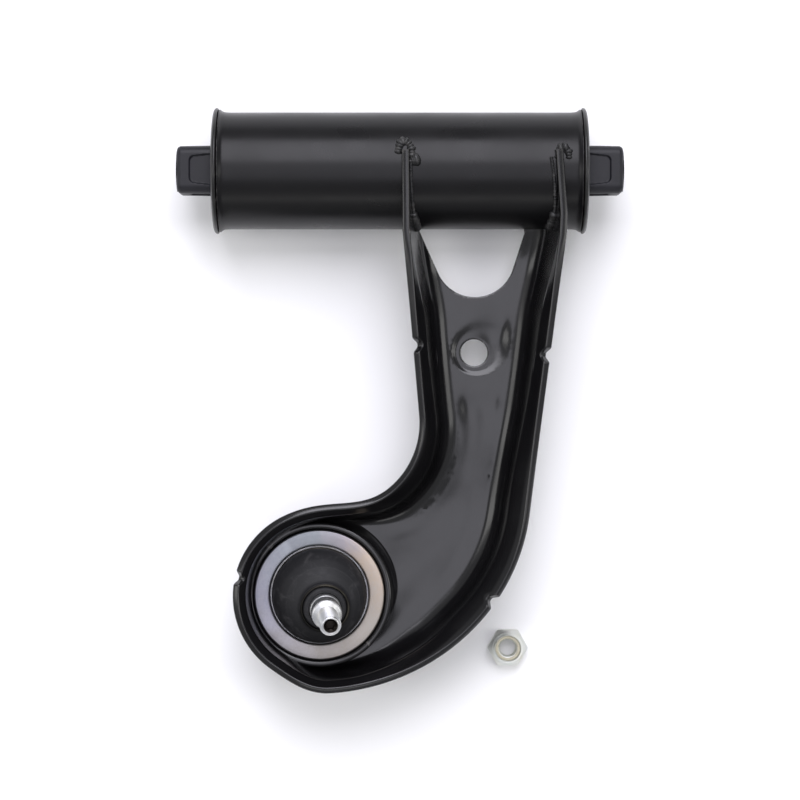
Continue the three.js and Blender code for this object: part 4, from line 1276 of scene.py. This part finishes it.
def buildStud(tree):
    s = studSizes
    hollow, shoulder, end = s["hollow"], s["shoulder"], s["length"]
    root = s["thread"] - s["threadDepth"]
    under = math.sqrt(hollow ** 2 - s["neck"] ** 2)
    profile = [
        [0, hollow], [2.5, hollow - 0.26], [4.4, hollow - 0.82], [s["neck"], under], [s["neck"], 16],
        [s["collar"] - 0.6, 19.5], [s["collar"], 20.6], [s["collar"], 21.9], [s["pin"] + 0.35, 22.5],
        [s["pin"] + 0.3, 33.6], [s["pin"] - 0.35, 34.2], [s["pin"] - 0.35, 35.6], [s["pin"] + 0.1, 36.2],
        [s["pin"], shoulder - 0.7], [s["pin"] - 0.7, shoulder], [root, shoulder + 0.6], [root, end - 0.9],
        [s["thread"] - 0.75, end - 0.35], [s["thread"] - 1.2, end], [3.35, end], [2.9, end - 0.5],
        [2.0, end - 1.6], [0, end - 2.4],
    ]
    tilted = along(ball, studAxis)
    stud = turnedPiece("pin", profile, tilted, 0.35, 128, closed=False)
    socket = prism("socket", hexLoop(s["socket"]), end - s["socketDepth"], end + 2, tilted)
    combine(stud, socket, "DIFFERENCE")
    smooth(stud.data)
    turns = threadTurns("turns", tree, shoulder + 2.6, end - 1.2, root, s["threadDepth"], tilted)
    joined(stud, turns)
    return finishPiece(stud, studSteel, "stud", "ball_stud")


nutSizes = {
    "across": 17.0, "hex": 7.0, "height": 10.0, "bore": 4.25, "collar": 7.2, "insert": 1.5, "corner": 0.7,
}


def buildNut(tree):
    s = nutSizes
    corner = s["across"] / math.sqrt(3)
    stand = Matrix.Translation(nutPlace)
    hexagon = prism("nut", hexLoop(s["across"], s["corner"]), 0, s["height"], stand)
    groove = s["bore"] + 0.35 + s["insert"] + 0.1
    body = [
        [s["bore"] + 1.1, 0], [s["across"] / 2 - 0.2, 0], [corner, 1.3], [corner, s["hex"] - 1.8],
        [s["across"] / 2 - 0.3, s["hex"] - 0.3], [s["collar"] + 0.9, s["hex"]],
        [s["collar"] + 0.1, s["hex"] + 0.6],
        [s["collar"], s["height"] - 1.1], [s["collar"] - 0.9, s["height"]], [groove + 0.1, s["height"] - 0.1],
        [groove - 0.35, s["height"] - 0.45], [groove, s["height"] - 0.9], [groove, s["hex"]],
        [s["bore"], s["hex"]], [s["bore"], 1.0],
    ]
    combine(hexagon, turnedPiece("nutRound", body, stand, 0.45, 160), "INTERSECT")
    smooth(hexagon.data, 30)
    turns = threadTurns("nutTurns", tree, 1.3, s["hex"] - 0.4, s["bore"] + 0.1, 0.5, stand)
    joined(hexagon, turns)
    finishPiece(hexagon, nutZinc, "lock_nut", "lock_nut")
    inner = s["bore"] + 0.35
    insert = turnedPiece("insert", [
        [inner, s["hex"] + 0.3], [inner + s["insert"], s["hex"] + 0.3],
        [inner + s["insert"], s["height"] - 0.9], [inner, s["height"] - 0.9],
    ], stand, 0.5, 128)
    finishPiece(insert, insertPlastic, "lock_nut", "nut_insert")


buildHousing()
buildBoot()
buildClips()
buildStud(threadTree(studSteel))
buildNut(threadTree(nutZinc))
print("ball joint and nut made")

# Hidden pieces stay as they came and only take a material.
kept = {
    "spacer_tube": hiddenSteel, "ball_seat_upper": seatPlastic, "ball_seat_lower": seatPlastic,
    "preload_spring": hiddenSteel, "stud_ball": studSteel,
}
for node, material in kept.items():
    frame["nodes"][node].data.materials.clear()
    frame["nodes"][node].data.materials.append(material)

scene = bpy.context.scene
world = bpy.data.worlds.new("studio")
scene.world = world
world.use_nodes = True
world.node_tree.nodes["Background"].inputs["Color"].default_value = (0.96, 0.97, 1, 1)
world.node_tree.nodes["Background"].inputs["Strength"].default_value = 0.46

floor = newObject("floor", bpy.data.meshes.new("floor"))
floor.data.from_pydata([(-4, -4, restLevel), (4, -4, restLevel), (4, 4, restLevel), (-4, 4, restLevel)], [],
                       [(0, 1, 2, 3)])
paper = Graph("paper")
paperGrain = paper.bump(paper.noise(700, 3), 0.05, 0.05 * mm)
paper.set(Base_Color=(0.93, 0.93, 0.93, 1), Roughness=0.9, Normal=paperGrain)
floor.data.materials.append(paper.material)


# A panel of even brightness; its power follows from its size.
def softBox(name, spot, aim, size, brightness, colour=(1, 1, 1)):
    light = bpy.data.lights.new(name, "AREA")
    light.shape = "RECTANGLE"
    light.size, light.size_y = size
    light.energy = brightness * math.pi * size[0] * size[1]
    light.color = colour
    lamp = bpy.data.objects.new(name, light)
    scene.collection.objects.link(lamp)
    lamp.location = spot
    lamp.rotation_euler = (Vector(aim) - Vector(spot)).to_track_quat("-Z", "Y").to_euler()


softBox("overhead", (0, -0.25, 2.2), (0, -0.25, 0), (1.0, 1.2), 1.9, (0.91, 0.9, 1))
softBox("back", (0, 1.35, 1.9), (0, 0, 0), (1.7, 1.9), 5.4, (0.93, 0.92, 1))
softBox("left", (-1.75, -0.1, 1.5), (0, -0.1, 0), (0.7, 1.8), 2.4, (1, 0.99, 0.97))
softBox("right", (1.75, -0.1, 1.5), (0, -0.1, 0), (0.7, 1.8), 2.4, (1, 0.99, 0.97))
softBox("front", (0, -2.3, 1.3), (0, -0.1, 0), (2.0, 0.5), 1.6, (1, 0.99, 0.97))

camera = bpy.data.objects.new("camera", bpy.data.cameras.new("camera"))
scene.collection.objects.link(camera)
camera.location = (0, -0.1082, 1.3)
camera.data.sensor_width = 36
camera.data.lens = 123.8
scene.camera = camera
scene.view_settings.view_transform = "Standard"
print("studio set")
